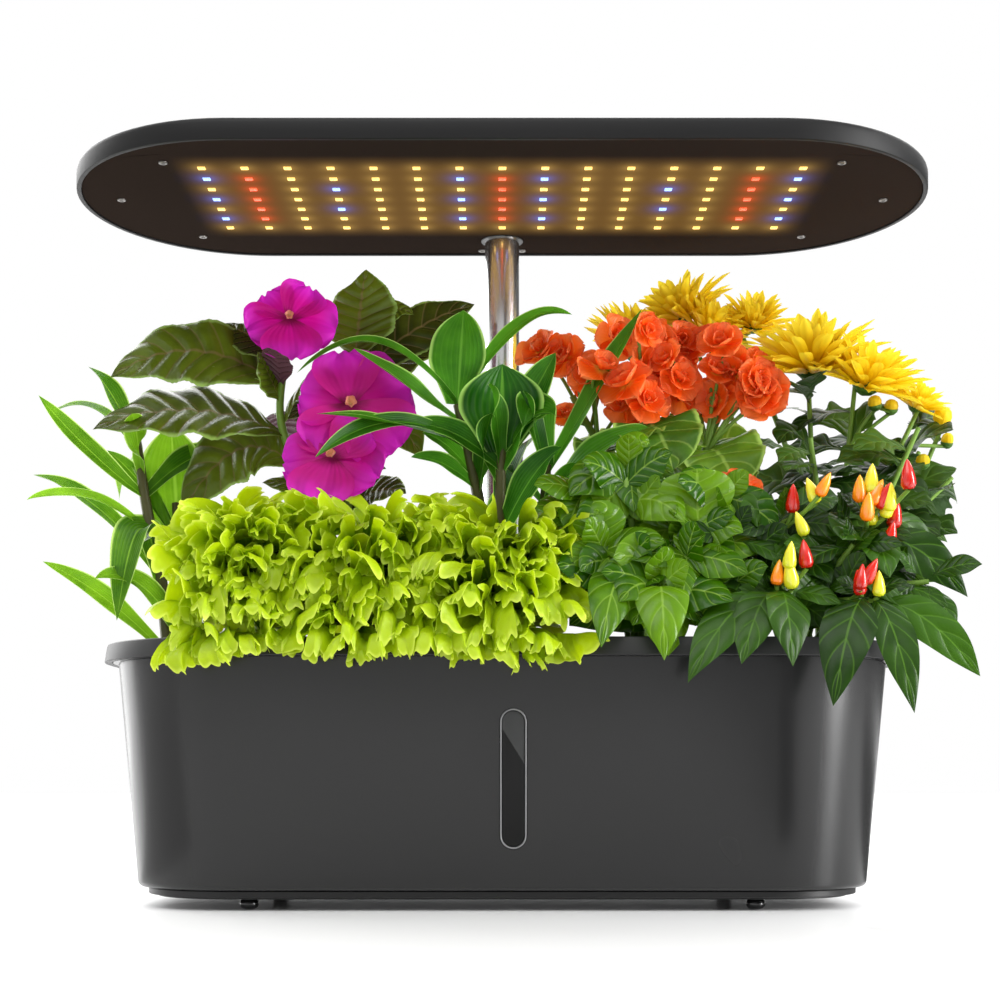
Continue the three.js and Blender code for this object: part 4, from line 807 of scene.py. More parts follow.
def build_face():
    """The lamp's lower face: a fine grid where the lights are, joined to the rounded outline"""
    half = (156 * MM, 58 * MM)
    pitch = 1.2 * MM
    xs = np.linspace(-half[0], half[0], int(2 * half[0] / pitch) + 1)
    ys = np.linspace(LED_MIDDLE_Y - half[1], LED_MIDDLE_Y + half[1], int(2 * half[1] / pitch) + 1)
    wide, tall = len(xs), len(ys)
    points = [(x, y, FACE_Z) for y in ys for x in xs]
    faces = []
    for j in range(tall - 1):
        for i in range(wide - 1):
            k = j * wide + i
            faces.append((k, k + wide, k + wide + 1, k + 1))
    edge = list(range(wide)) + [j * wide + wide - 1 for j in range(1, tall)]
    edge += [(tall - 1) * wide + i for i in range(wide - 2, -1, -1)]
    edge += [j * wide for j in range(tall - 2, 0, -1)]
    count, start = len(edge), len(points)
    points += [(*rounded_place(points[i][0], points[i][1], half), FACE_Z) for i in edge]
    for i in range(count):
        k = (i + 1) % count
        faces.append((edge[i], edge[k], start + k, start + i))
    top = len(points)
    points += [(x, y, FACE_Z + 1.6 * MM) for x, y, _ in points[start:top]]
    faces += band(start, top, count)
    faces.append(tuple(range(top, top + count)))
    face = finish_mesh("lamp_face", points, faces, LAMP_FACE)
    places = np.array([vertex.co[:] for vertex in face.data.vertices])
    inside = (abs(places[:, 0]) < half[0] + 1 * MM) & (places[:, 2] < FACE_Z + 0.5 * MM)
    colors = np.ones((len(places), 4))
    # The painted glow, held in a colour attribute on the face's underside
    colors[:, :3] = painted_glow_at(places[:, 0], places[:, 1]) * inside[:, None]
    layer = face.data.color_attributes.new("glow", "FLOAT_COLOR", "POINT")
    layer.data.foreach_set("color", colors.astype(np.float32).ravel())
    settle(face, "lamp", "lamp_plate", "led_board")


def build_leds():
    low, high = FACE_Z - 0.6 * MM, FACE_Z + 0.1 * MM
    half_x, half_y, inset = 1.75 * MM, 1.4 * MM, 0.25 * MM
    corners = ((-1, -1), (1, -1), (1, 1), (-1, 1))
    for letter, (kind, color, strength, *_) in LIGHTS.items():
        light = led_light("led_" + kind, color, strength)
        points, faces = [], []
        for x, y, own in led_places():
            if own != letter:
                continue
            start = len(points)
            for z, shrink in ((high, 0), (low + inset, 0), (low, inset)):
                for side_x, side_y in corners:
                    points.append((x + side_x * (half_x - shrink), y + side_y * (half_y - shrink), z))
            faces += band(start, start + 4, 4) + band(start + 4, start + 8, 4)
            faces.append(tuple(start + 8 + j for j in range(4)))
            faces.append(tuple(start + j for j in (3, 2, 1, 0)))
        chips = finish_mesh("leds_" + kind, points, faces, light, smooth=False)
        settle(chips, "lamp", "led_chip")


def build_screws():
    head = [(0, -0.35), (0.9, -0.35), (0.95, -0.62), (1.6, -0.66), (2.0, -0.5), (2.1, -0.2), (2.1, 0), (0, 0)]
    for number in range(1, 9):
        node = f"lamp_screw_{number}"
        middle = middle_of(node)
        place = (middle.x, middle.y, FACE_Z - 0.05 * MM)
        turn_piece(node + "_head", head, (DARK_METAL, "steel"), place, "lamp", node, steps=28)


def build_lamp():
    build_shell()
    build_face()
    build_leds()
    build_screws()
    settle_shown("lamp_bracket", BRIGHT, 0.4 * MM)
    settle_shown("led_driver", WHITE_PLASTIC, 0.6 * MM)
    settle_shown("float_guide", BLACK, 0.3 * MM)


# Plant materials
def tone(code):
    """A colour written as six hex digits, in linear light"""
    parts = [((code >> shift) & 255) / 255 for shift in (16, 8, 0)]
    return tuple(p / 12.92 if p <= 0.04045 else ((p + 0.055) / 1.055) ** 2.4 for p in parts)


def leaf_skin(name, dark, light, vein, side_veins, roughness, edge=None, through=0.3, quilt=0.5, back=None):
    """A leaf: veins and midrib from its own map, tint from leaf to leaf, and light that shines through"""
    look = Look(name)
    along, across, tint = look.on_blade()
    from_rib = (across - 0.5).math("ABSOLUTE") * 2.0
    mottle = look.noise(90)
    level = mottle * 0.7 + tint * 0.9 - 0.3
    color = look.mix(level.ramp(0.0, 1.0), tone(dark), tone(light))
    if side_veins:
        slanted = along * side_veins - from_rib * 1.3
        wave = (slanted.math("FRACT") - 0.5).math("ABSOLUTE") * 2.0
        lines = wave.ramp(0.8, 1.0)
        height = look.noise(700) * 0.35 + (1.0 - wave.math("POWER", 3.0))
    else:
        wave = (across * 75.0).math("SINE")
        lines = wave.ramp(0.3, 1.0) * 0.25
        height = wave
    color = look.mix(lines * 0.4, color, tone(vein))
    color = look.mix(from_rib.ramp(0.07, 0.015) * 0.55, color, tone(vein))
    if edge:
        color = look.mix(from_rib.ramp(0.86, 0.97), color, tone(edge))
    if back:
        behind = look.node("ShaderNodeNewGeometry").outputs["Backfacing"]
        color = look.mix(behind, color, tone(back))
    look.set(color=color, roughness=mottle * 0.2 + (roughness - 0.1), shine=0.24)
    look.bump(height, quilt, 0.6 * MM)
    look.shine_through(color, through)
    return look.material


def lettuce_skin():
    """Deep green at the heart, which is painted shade, yellow green at the frilled edge and paler on its very
    rim
    """
    look = Look("leaf_lettuce")
    along, across, tint = look.on_blade()
    mottle = look.noise(120, 4.0)
    # Painted shade: each leaf darkens towards its foot, deep in the head
    level = mottle * 0.4 + tint * 0.35 + along - 0.37
    color = look.mix(level.ramp(0.05, 0.8), tone(0x568002), tone(0xB2CC06))
    wave = (across * 46.0 + mottle * 6.0).math("SINE")
    color = look.mix(wave.ramp(0.8, 1.0) * 0.16, color, tone(0xC4DC50))
    color = look.mix(along.ramp(0.93, 1.0) * 0.75, color, tone(0xDDEE58))
    look.set(color=color, roughness=mottle * 0.2 + 0.36)
    look.bump(wave * 0.12 + look.noise(330, 2.0), 0.7, 0.6 * MM)
    look.shine_through(color, 0.38)
    return look.material


def petal_skin(name, base, middle, tip, roughness=0.55, through=0.3):
    """A petal: its colour runs from base to tip, with faint veins along it"""
    look = Look(name)
    along, across, tint = look.on_blade()
    share = look.noise(160) * 0.16 + along - 0.08
    color = look.mix(share.ramp(0.02, 0.3), tone(base), tone(middle))
    color = look.mix(share.ramp(0.45, 1.0), color, tone(tip))
    color = look.mix(tint * 0.35, color, [0.62 * part for part in tone(middle)])
    look.set(color=color, roughness=roughness, shine=0.3)
    look.bump((across * 60.0).math("SINE"), 0.25, 0.3 * MM)
    look.shine_through(color, through)
    return look.material


def fruit_skin(name, base, tip):
    look = Look(name)
    along, _, _ = look.on_blade()
    mottle = look.noise(200, 2.0)
    share = mottle * 0.4 + along - 0.2
    look.set(color=look.mix(share.ramp(0.1, 0.9), tone(base), tone(tip)), roughness=0.18, coat=0.5)
    look.bump(mottle, 0.1)
    return look.material


STRAP = leaf_skin("leaf_dracaena", 0x174F08, 0x4E9418, 0x6FAE38, 0, 0.35, 0xA9D86A, 0.35, 0.25)
PALE_STRAP = leaf_skin("leaf_dracaena_pale", 0x34640A, 0x7CB21C, 0x96C83C, 0, 0.35, 0xBCE070, 0.38, 0.25)
BROAD = leaf_skin("leaf_impatiens", 0x282E0A, 0x546414, 0x6D5A3A, 9, 0.22, 0x7E9A4A, 0.2, 0.9, 0x5A3C46)
ROUND = leaf_skin("leaf_begonia", 0x335F12, 0x7FA52C, 0xA9C95E, 6, 0.4, 0xA5C65C, 0.35)
LOBED = leaf_skin("leaf_mum", 0x142E04, 0x3A5A10, 0x5A7E34, 5, 0.45, through=0.2, back=0x405A32)
BASIL_GREEN = leaf_skin("leaf_basil", 0x265200, 0x628C10, 0x8CB040, 5, 0.22, through=0.22)
PEPPER_GREEN = leaf_skin("leaf_pepper", 0x122E00, 0x305604, 0x527C20, 6, 0.36, through=0.2, quilt=0.4)
SEPAL = leaf_skin("sepal", 0x2C5218, 0x5F8C35, 0x7CA65A, 4, 0.5)
LETTUCE = lettuce_skin()
STEM = plastic("stem", tone(0x6A8E2E), 0.5, 0.1)
DARK_STEM = plastic("stem_dark", tone(0x4B4A22), 0.5, 0.1)
MAGENTA = petal_skin("petal_magenta", 0x7A0040, 0xC40086, 0xD020C0)
EYE = petal_skin("flower_eye", 0xF2E2A8, 0xF6C9A0, 0xE88C86)
ORANGE = petal_skin("petal_orange", 0xFFC44A, 0xFF6A18, 0xFF8248, 0.38)
YELLOW = petal_skin("petal_yellow", 0xE0A800, 0xF8D210, 0xFFE638, 0.5, 0.4)
FRUITS = (
    ("red", fruit_skin("fruit_red", 0xB00E06, 0xDC1E08)),
    ("yellow", fruit_skin("fruit_yellow", 0xC9CF20, 0xF4E33A)),
    ("orange", fruit_skin("fruit_orange", 0xF07A0A, 0xF7A416)),
)

# Plants are measured in shares of the reach, from the pod's centre
REACH = 100 * MM
GROWTH_LIFT = 9.4 * MM
EDGE_ROOM = 9 * MM
RIM_SHARE = -0.46
UP = np.array((0.0, 0.0, 1.0))
GOLDEN_TURN = 2.4


def held_in(points):
    """Bend back, softly, what would reach past the object's own box"""
    for axis in range(2):
        low, high = cad_low[axis] + EDGE_ROOM, cad_high[axis] - EDGE_ROOM
        values = points[:, axis]
        past = values - np.clip(values, low, high)
        points[:, axis] = values - past + EDGE_ROOM * np.tanh(past / EDGE_ROOM)
    return points


class Skin:
    """Points, faces, places on the surface and tints of one mesh in the making"""

    def __init__(self):
        self.points, self.places, self.tints, self.faces = [], [], [], []
        self.count = 0

    def add(self, points, tint=0.5, closed=False):
        """A sheet of rows by columns of points, or a tube if it is closed across"""
        rows, columns = points.shape[:2]
        along, across = np.meshgrid(np.linspace(0, 1, rows), np.linspace(0, 1, columns), indexing="ij")
        self.points.append(points.reshape(-1, 3))
        self.places.append(np.stack([along.ravel(), across.ravel()], 1))
        self.tints.append(np.full(rows * columns, tint))
        last = columns if closed else columns - 1
        i, j = np.meshgrid(np.arange(rows - 1), np.arange(last), indexing="ij")
        i, j = i.ravel(), j.ravel()
        k = (j + 1) % columns
        corners = (i * columns + j, i * columns + k, (i + 1) * columns + k, (i + 1) * columns + j)
        self.faces.append(np.stack(corners, 1) + self.count)
        self.count += rows * columns

    def add_tube(self, path, radius, end_radius):
        self.add(tube_points(path, radius, end_radius), 0.5, True)

    def build(self, name, material, place, slot, *nodes):
        """Turn shares into metres round the pod, and settle the piece"""
        centre = np.array((place[0], place[1], place[2] + GROWTH_LIFT))
        points = held_in(np.concatenate(self.points) * REACH + centre)
        mesh = bpy.data.meshes.new(name)
        mesh.from_pydata(points.tolist(), [], np.concatenate(self.faces).tolist())
        mesh.materials.append(material)
        mesh.polygons.foreach_set("use_smooth", [True] * len(mesh.polygons))
        corners = np.empty(len(mesh.loops), np.int32)
        mesh.loops.foreach_get("vertex_index", corners)
        layer = mesh.uv_layers.new(name="place")
        layer.data.foreach_set("uv", np.concatenate(self.places)[corners].astype(np.float32).ravel())
        tints = mesh.attributes.new("tint", "FLOAT", "POINT")
        tints.data.foreach_set("value", np.concatenate(self.tints).astype(np.float32))
        return settle(link_new(name, mesh), "deck", slot, *nodes)


def unit(vectors):
    return vectors / np.maximum(np.linalg.norm(vectors, axis=-1, keepdims=True), 1e-9)


def eased(table, places):
    """A smooth curve through a table of (place, value)"""
    xs, ys = zip(*table)
    index = np.clip(np.searchsorted(xs, places, side="right") - 1, 0, len(xs) - 2)
    xs, ys = np.array(xs), np.array(ys)
    width = xs[index + 1] - xs[index]
    share = (places - xs[index]) / width
    slopes = np.gradient(ys, xs)
    slopes[-1] = (ys[-1] - ys[-2]) / (xs[-1] - xs[-2])
    s2, s3 = share**2, share**3
    curve = ys[index] * (2 * s3 - 3 * s2 + 1) + ys[index + 1] * (3 * s2 - 2 * s3)
    curve += width * (slopes[index] * (s3 - 2 * s2 + share) + slopes[index + 1] * (s3 - s2))
    return np.maximum(curve, 0)


class Kind:
    """A kind of leaf. Its outline is its width at each share of its length. Fold lifts both halves, and cup
    bends the edges down. Ripples of the edge, puffs between side veins and cuts in the edge each have a size
    and a number. The leaf's face turns to its facing"""

    def __init__(self, outline, fold, grid, ripple, cup=0.0, puff=(0, 0), cuts=(0, 0), facing=(0, -0.7, 0.7)):
        self.outline, self.fold, self.cup = outline, fold, cup
        self.rows, self.columns = grid
        self.ripple, self.ripples = ripple
        self.puff, self.puffs = puff
        self.cut, self.cuts = cuts
        self.facing = np.array(facing)


KINDS = {
    "strap": Kind(
        [(0, 0.35), (0.2, 0.62), (0.5, 1), (0.75, 0.82), (0.92, 0.35), (1, 0)],
        fold=0.4, grid=(30, 9), ripple=(0.05, 1.6),
    ),
    "broad": Kind(
        [(0, 0.06), (0.1, 0.3), (0.3, 0.88), (0.48, 1), (0.7, 0.82), (0.9, 0.33), (1, 0)],
        fold=0.16, grid=(56, 17), ripple=(0.03, 4), cup=0.12, puff=(0.035, 9), cuts=(0.03, 24),
    ),
    "round": Kind(
        [(0, 0.15), (0.12, 0.62), (0.35, 0.98), (0.55, 1), (0.8, 0.75), (0.95, 0.3), (1, 0)],
        fold=0.3, grid=(48, 15), ripple=(0.05, 3), cup=0.1, puff=(0.02, 6), cuts=(0.02, 30),
    ),
    "lobed": Kind(
        [(0, 0.1), (0.2, 0.35), (0.45, 0.95), (0.7, 0.9), (0.9, 0.4), (1, 0)],
        fold=0.18, grid=(34, 11), ripple=(0.03, 2), cup=0.1, puff=(0.015, 5), cuts=(0.34, 3.5),
    ),
    "basil": Kind(
        [(0, 0.1), (0.1, 0.5), (0.35, 0.98), (0.6, 0.95), (0.85, 0.5), (1, 0)],
        fold=0.12, grid=(40, 15), ripple=(0.02, 2), cup=0.26, puff=(0.012, 5), facing=(0, -0.92, 0.4),
    ),
    "lance": Kind(
        [(0, 0.06), (0.2, 0.06), (0.32, 0.5), (0.5, 0.96), (0.62, 1), (0.8, 0.74), (0.92, 0.34), (1, 0)],
        fold=0.2, grid=(30, 11), ripple=(0.05, 2), cup=0.16, puff=(0.02, 6), facing=(0, -0.88, 0.48),
    ),
}


def leaf_points(base, tip, rise, width, kind, roll, twist, phase):
    t = np.linspace(0, 1, kind.rows)[:, None]
    middle = (base + tip) / 2 + 2 * rise * UP
    rib = (1 - t) ** 2 * base + 2 * t * (1 - t) * middle + t**2 * tip
    tangent = unit((1 - t) * (middle - base) + t * (tip - middle))
    side = unit(np.cross(tangent, kind.facing))
    normal = np.cross(side, tangent)
    turn = roll + twist * t
    side, normal = side * np.cos(turn) + normal * np.sin(turn), normal * np.cos(turn) - side * np.sin(turn)
    half = width / 2 * eased(kind.outline, t)
    if kind.cuts:
        half = half * (1 - kind.cut * (0.5 + 0.5 * np.cos(2 * math.pi * kind.cuts * t + phase)))
    v = np.linspace(-1, 1, kind.columns)[None, :]
    height = half * (kind.fold * (np.sqrt(v**2 + 0.01) - 0.1) - kind.cup * v**2)
    ripple = np.sin(2 * math.pi * kind.ripples * t + phase + np.where(v > 0, 1.7, 0))
    height = height + width * kind.ripple * ripple * v**2 * np.sin(math.pi * t) ** 0.5
    if kind.puffs:
        puff = np.abs(np.sin(math.pi * (kind.puffs * t - 1.3 * np.abs(v))))
        height = height + width * kind.puff * puff * (1 - v**4) * np.sin(math.pi * t) ** 0.5
    flat = rib[:, None, :] + side[:, None, :] * (half * v)[..., None]
    return flat + normal[:, None, :] * height[..., None]


def smooth_path(path, steps):
    """A smooth curve through the points of a path"""
    padded = np.vstack([2 * path[0] - path[1], path, 2 * path[-1] - path[-2]])
    points = []
    for i in range(1, len(padded) - 2):
        a, b, c, d = padded[i - 1 : i + 3]
        for t in np.linspace(0, 1, steps, endpoint=False):
            bend = (2 * a - 5 * b + 4 * c - d) * t**2 + (3 * b - a - 3 * c + d) * t**3
            points.append(0.5 * (2 * b + (c - a) * t + bend))
    return np.array(points + [path[-1]])


def tube_points(path, radius, end_radius, sides=8, steps=6):
    """A tube along a smooth curve through the points"""
    fine = smooth_path(np.array(path, float), steps)
    tangent = unit(np.gradient(fine, axis=0))
    across = unit(np.cross(tangent, (1.0, 0.2, 0.1)))
    other = np.cross(tangent, across)
    angle = np.linspace(0, 2 * math.pi, sides, endpoint=False)
    size = np.linspace(radius, end_radius, len(fine))[:, None, None]
    cosine, sine = np.cos(angle)[None, :, None], np.sin(angle)[None, :, None]
    ring = across[:, None, :] * cosine + other[:, None, :] * sine
    return fine[:, None, :] + size * ring


def along(path, share):
    """The point at a share of a path's length"""
    fine = smooth_path(np.array(path, float), 8)
    place = share * (len(fine) - 1)
    i = min(int(place), len(fine) - 2)
    return fine[i] + (fine[i + 1] - fine[i]) * (place - i)


def pod_place(name):
    low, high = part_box("basket_" + name)
    middle = (low + high) / 2
    return (middle.x, middle.y, high.z - BASKET_RIM * MM)


def grow(name, table, more):
    """Stems and leaves of one plant: those of its table, made wider, and more of them"""
    place = pod_place(name)
    stems = table["stems"] + table.get("sides", [])
    leaf_material, stem_material = table["skins"]
    stalks, blades = Skin(), Skin()

    def add_leaf(base, tip, rise, width, most_roll, tints):
        roll, twist = rng.uniform(-most_roll, most_roll), rng.uniform(-0.3, 0.3)
        blade = leaf_points(base, tip, rise, width, KINDS[table["kind"]], roll, twist, rng.uniform(0, 6))
        blades.add(blade, rng.uniform(*tints))

    for path in stems:
        stalks.add_tube(path, table["stem_radius"], 0.6 * table["stem_radius"])
    for stem, share, x, y, z, rise, width in table["leaves"]:
        base, tip = along(stems[stem], share), np.array((x, y, z))
        add_leaf(base, tip, rise, table["widen"] * width, 0.25, (0.1, 0.9))
    for leaf in more:
        add_leaf(*leaf, 0.45, (0, 0.8))
    slot = "leaf_" + name.split("_")[0]
    stalks.build(name + "_stems", stem_material, place, slot)
    blades.build(name + "_leaves", leaf_material, place, slot, "plant_" + name)
    return place


def scattered(stems, count, lengths, width_share, low, high, droop, spread):
    """Extra leaves round the stems, at random but always the same"""
    made = []
    for i in range(count):
        base = along(stems[i % len(stems)], rng.uniform(low, high))
        angle = GOLDEN_TURN * i + rng.uniform(-0.4, 0.4)
        length = rng.uniform(*lengths)
        out = np.array((math.cos(angle), math.sin(angle) * 0.9, rng.uniform(-droop, spread)))
        tip = base + out / np.linalg.norm(out) * length
        made.append((base, tip, 0.12 * length, width_share * length))
    return made


def crosses(table, shares, lengths, width_share):
    """Crossed pairs of leaves at nodes along each stem, their faces to the front, and a pair behind"""
    made = []
    for number, path in enumerate(table["stems"] + table["sides"]):
        for level, (share, length) in enumerate(zip(shares, lengths)):
            base = along(path, share)
            first = rng.uniform(-0.4, 0.4) + (0.8 if (number + level) % 2 else 0)
            for turn in range(6):
                angle = first + math.pi / 2 * turn
                depth = rng.uniform(-0.55, -0.15) if turn < 4 else rng.uniform(0.4, 0.9)
                out = unit(np.array((math.cos(angle), depth, 0.8 * math.sin(angle) - 0.2)))
                long = length * rng.uniform(0.8, 1.1) * (0.7 if out[2] > 0.3 else 1)
                tip = base + out * long
                if tip[1] > RIM_SHARE:
                    tip[2] = max(tip[2], -0.02)
                made.append((base, tip, 0.1 * long, width_share * long))
    return made


# Petals, flowers and buds
ROUND_PETAL = [(0, 0.16), (0.25, 0.62), (0.55, 1), (0.8, 0.95), (0.95, 0.55), (1, 0.2)]
HEART_PETAL = [(0, 0.12), (0.2, 0.5), (0.5, 0.95), (0.75, 1), (0.92, 0.75), (1, 0.35)]
RAY_PETAL = [(0, 0.35), (0.3, 0.7), (0.65, 1), (0.88, 0.8), (1, 0.12)]
CALYX = [(0.02, -0.1), (0.14, -0.06), (0.24, 0.04), (0.27, 0.14), (0.22, 0.22), (0.05, 0.2)]
BUD = [(0.02, -1), (0.5, -0.85), (0.92, -0.35), (1, 0.15), (0.8, 0.7), (0.4, 0.98), (0.02, 1.05)]
FRUIT = [(0.1, 0), (0.7, 0.06), (1, 0.35), (0.98, 0.8), (0.72, 1.5), (0.35, 2.05), (0.08, 2.3), (0.01, 2.33)]


def flower_frame(axis):
    axis = np.array(axis, float) / np.linalg.norm(axis)
    across = unit(np.cross(axis, (0.1, 0.2, 1.0)))
    return across, np.cross(axis, across), axis


def petal_points(centre, axes, angle, size, bends, outline, ripple=0.0, grid=(10, 9), start=0.0):
    """A petal of a length and width that leaves the centre at a lift and curls towards the axis"""
    (across, other, axis), (length, width), (lift, curl, cup), (rows, columns) = axes, size, bends, grid
    out = across * math.cos(angle) + other * math.sin(angle)
    side = -across * math.sin(angle) + other * math.cos(angle)
    t = np.linspace(0, 1, rows)[:, None]
    angles = lift + curl * t[:, 0]
    steps = length / (rows - 1) * (np.cos(angles)[:, None] * out + np.sin(angles)[:, None] * axis)
    spine = centre + out * start + np.vstack([np.zeros(3), np.cumsum(steps[:-1], 0)])
    normal = np.cos(angles)[:, None] * axis - np.sin(angles)[:, None] * out
    half = width / 2 * eased(outline, t)
    v = np.linspace(-1, 1, columns)[None, :]
    height = half * cup * v**2 + ripple * width * t**2 * np.sin(v * 7 + angle * 3)
    return spine[:, None, :] + side * (half * v)[..., None] + normal[:, None, :] * height[..., None]


def cup_points(base, axis, profile, size, sides=12, stretch=1.0):
    """A small turned shape along an axis, from (radius, height) shares of its size"""
    across, other, axis = flower_frame(axis)
    angle = np.linspace(0, 2 * math.pi, sides, endpoint=False)
    ring = across[None, :] * np.cos(angle)[:, None] + other[None, :] * np.sin(angle)[:, None]
    rings = [base + axis * (height * size * stretch) + ring * (radius * size) for radius, height in profile]
    return np.stack(rings)


def impatiens_flower(skin, eyes, centre, axis, radius, turn):
    axes = flower_frame(axis)
    for i, size in enumerate((1.0, 1.12, 1.08, 0.92, 0.86)):
        angle = turn + 2 * math.pi * i / 5
        length = radius * size
        bends = (0.1 + 0.14 * (i % 2), -0.3, 0.16)
        petal = petal_points(centre, axes, angle, (length, 1.22 * length), bends, HEART_PETAL, 0.05, (16, 17))
        skin.add(petal, rng.uniform(0, 0.5))
    lifted = centre + 0.012 * axes[2]
    size = (0.2 * radius, 0.2 * radius)
    for i in range(5):
        angle = turn + 2 * math.pi * (i + 0.5) / 5
        eyes.add(petal_points(lifted, axes, angle, size, (0.9, 0.5, 0.4), ROUND_PETAL, 0, (6, 5)), 0.2)


def rosette(skin, centre, axis, radius, turn):
    """A double begonia: rounded petals in cupped rings"""
    axes = flower_frame(axis)
    layers = [(4, 1.1, -0.15, 0.45, 1.3), (4, 0.92, 0.4, 0.6, 1.25)]
    layers += [(3, 0.62, 0.8, 0.8, 1.2), (3, 0.36, 1.1, 0.8, 1.1)]
    for layer, (count, size, lift, curl, wide) in enumerate(layers):
        for i in range(count):
            angle = turn + 2 * math.pi * i / count + 0.6 * layer + rng.uniform(-0.25, 0.25)
            length = radius * size * rng.uniform(0.85, 1.1)
            lift = lift + rng.uniform(-0.15, 0.15)
            span, bends = (length, wide * length), (lift, curl, 0.4)
            petal = petal_points(centre, axes, angle, span, bends, ROUND_PETAL, 0.05)
            skin.add(petal, rng.uniform(0, 0.6))


def mum_flower(skin, base, axis, radius):
    axes = flower_frame(axis)
    layers = [(18, 1.0, 0.22), (19, 1.02, 0.45), (18, 1.0, 0.72), (14, 0.92, 1.0), (9, 0.78, 1.28)]
    for layer, (count, size, lift) in enumerate(layers):
        for i in range(count):
            angle = 2 * math.pi * i / count + 0.4 * layer + rng.uniform(-0.16, 0.16)
            length = radius * size * rng.uniform(0.8, 1.08)
            bends = (lift, rng.uniform(-0.35, 0.1), 0.6)
            span = (length, radius * rng.uniform(0.15, 0.2))
            petal = petal_points(base, axes, angle, span, bends, RAY_PETAL, 0, (9, 5), 0.04 * radius)
            skin.add(petal, rng.uniform(0, 0.7))


# Each plant's stems are lists of points. A leaf is its stem, how far up it, its tip, the rise of its arch
# and its width, which is then widened. A flower is its stem, how far up it, its centre and its radius.
DRACAENA_LEFT = {
    "kind": "strap",
    "skins": (PALE_STRAP, DARK_STEM),
    "stem_radius": 0.036,
    "widen": 1.6,
    "stems": [
        [(-0.05, 0, -0.15), (-0.1, 0, 0.3), (-0.17, -0.02, 0.68), (-0.22, 0, 1)],
        [(0.05, 0.04, -0.15), (-0.01, 0.06, 0.35), (-0.04, 0.08, 0.7)],
    ],
    "leaves": [
        (0, 0.7, -0.67, -0.15, 1.19, -0.03, 0.07), (0, 0.95, -0.71, 0.2, 1.17, 0.12, 0.06),
        (0, 0.35, -0.73, -0.1, 0.81, 0.1, 0.08), (0, 0.53, -0.71, -0.25, 0.66, 0.1, 0.05),
        (0, 0.05, -0.635, -0.2, 0.37, 0.05, 0.07), (1, 0.08, -0.37, -0.25, 0.28, 0.15, 0.08),
        (0, 0.33, -0.27, -0.22, 0.08, 0.35, 0.14), (1, 0.6, -0.07, 0.1, 1.1, 0, 0.22),
        (1, 0.7, -0.38, 0.05, 0.96, 0.05, 0.06), (1, 0.4, 0.05, 0.1, 0.87, 0, 0.08),
        (1, 0.5, -0.25, 0.82, 0.65, 0.2, 0.09), (0, 0.8, -0.45, 0.62, 0.8, 0.15, 0.08),
        (1, 0.2, 0.05, 0.72, 0.3, 0.3, 0.08),
    ],
}
DRACAENA_CENTRE = {
    "kind": "strap",
    "skins": (STRAP, DARK_STEM),
    "stem_radius": 0.036,
    "widen": 1.6,
    "stems": [
        [(-0.06, 0.02, -0.15), (-0.09, -0.05, 0.5), (-0.16, -0.12, 0.9), (-0.22, -0.12, 1.15)],
        [(0.06, 0.02, -0.15), (0.18, -0.08, 0.4), (0.22, -0.15, 0.85)],
        [(0, -0.06, -0.15), (-0.01, -0.15, 0.6), (0, -0.18, 0.95)],
    ],
    "leaves": [
        (0, 1, -0.19, -0.1, 1.62, 0, 0.19), (2, 0.93, 0, -0.22, 1.325, 0, 0.26),
        (0, 1, -0.98, -0.35, 1.25, 0.22, 0.06), (0, 0.85, -0.71, -0.35, 1.37, 0, 0.1),
        (0, 0.72, -0.86, -0.6, 1, 0.03, 0.08), (0, 0.7, -0.87, -0.58, 0.8, 0.15, 0.07),
        (0, 0.98, 0.34, -0.2, 1.57, 0.16, 0.055), (2, 0.8, 0.25, -0.35, 1.05, 0.1, 0.17),
        (2, 0.95, 0.26, -0.22, 1.38, 0, 0.11), (1, 0.95, 0.68, -0.2, 1.6, 0, 0.08),
        (1, 0.8, 0.69, -0.44, 0.97, 0.05, 0.14), (1, 0.6, 0.88, -0.5, 0.5, 0.08, 0.06),
        (1, 1, 0.1, -0.3, 1, 0.18, 0.12), (2, 0.6, 0.12, 0.2, 1, 0.1, 0.12),
    ],
}
IMPATIENS = {
    "kind": "broad",
    "skins": (BROAD, STEM),
    "stem_radius": 0.028,
    "widen": 1.8,
    "stems": [
        [
            (-0.05, -0.02, -0.15), (-0.11, -0.04, 0.45), (-0.22, -0.05, 0.85), (-0.3, -0.05, 1.12),
            (-0.26, -0.08, 1.45),
        ],
        [(0.05, 0.02, -0.15), (0.04, 0.02, 0.6), (0.05, 0, 1.05), (0.07, 0, 1.42)],
    ],
    "leaves": [
        (0, 0.85, -1.14, -0.05, 1.3, 0.15, 0.26), (0, 0.65, -1.18, -0.25, 1, 0.1, 0.3),
        (0, 0.5, -0.78, -0.1, 0.61, 0.2, 0.25), (0, 0.95, -0.62, 0.12, 1.61, 0.02, 0.14),
        (1, 0.98, 0.12, 0.03, 1.86, 0, 0.24), (1, 0.95, 0.36, -0.02, 1.62, 0.12, 0.1),
        (1, 0.9, 0.66, 0.15, 1.72, 0.05, 0.16), (0, 0.8, -0.39, -0.2, 1.39, 0, 0.12),
        (0, 0.7, 0.08, -0.15, 1.28, 0.1, 0.13), (1, 0.85, 0.5, 0.05, 1.5, 0, 0.15),
        (1, 0.5, 0.4, -0.05, 0.9, 0.2, 0.2), (1, 0.7, 0.1, 0.24, 1.2, 0.15, 0.2),
    ],
    "flowers": [
        (0, 0.9, -0.245, -0.12, 1.57, 0.18), (1, 0.7, 0.06, -0.2, 1.13, 0.24),
        (1, 0.5, -0.02, -0.28, 0.86, 0.2),
    ],
}
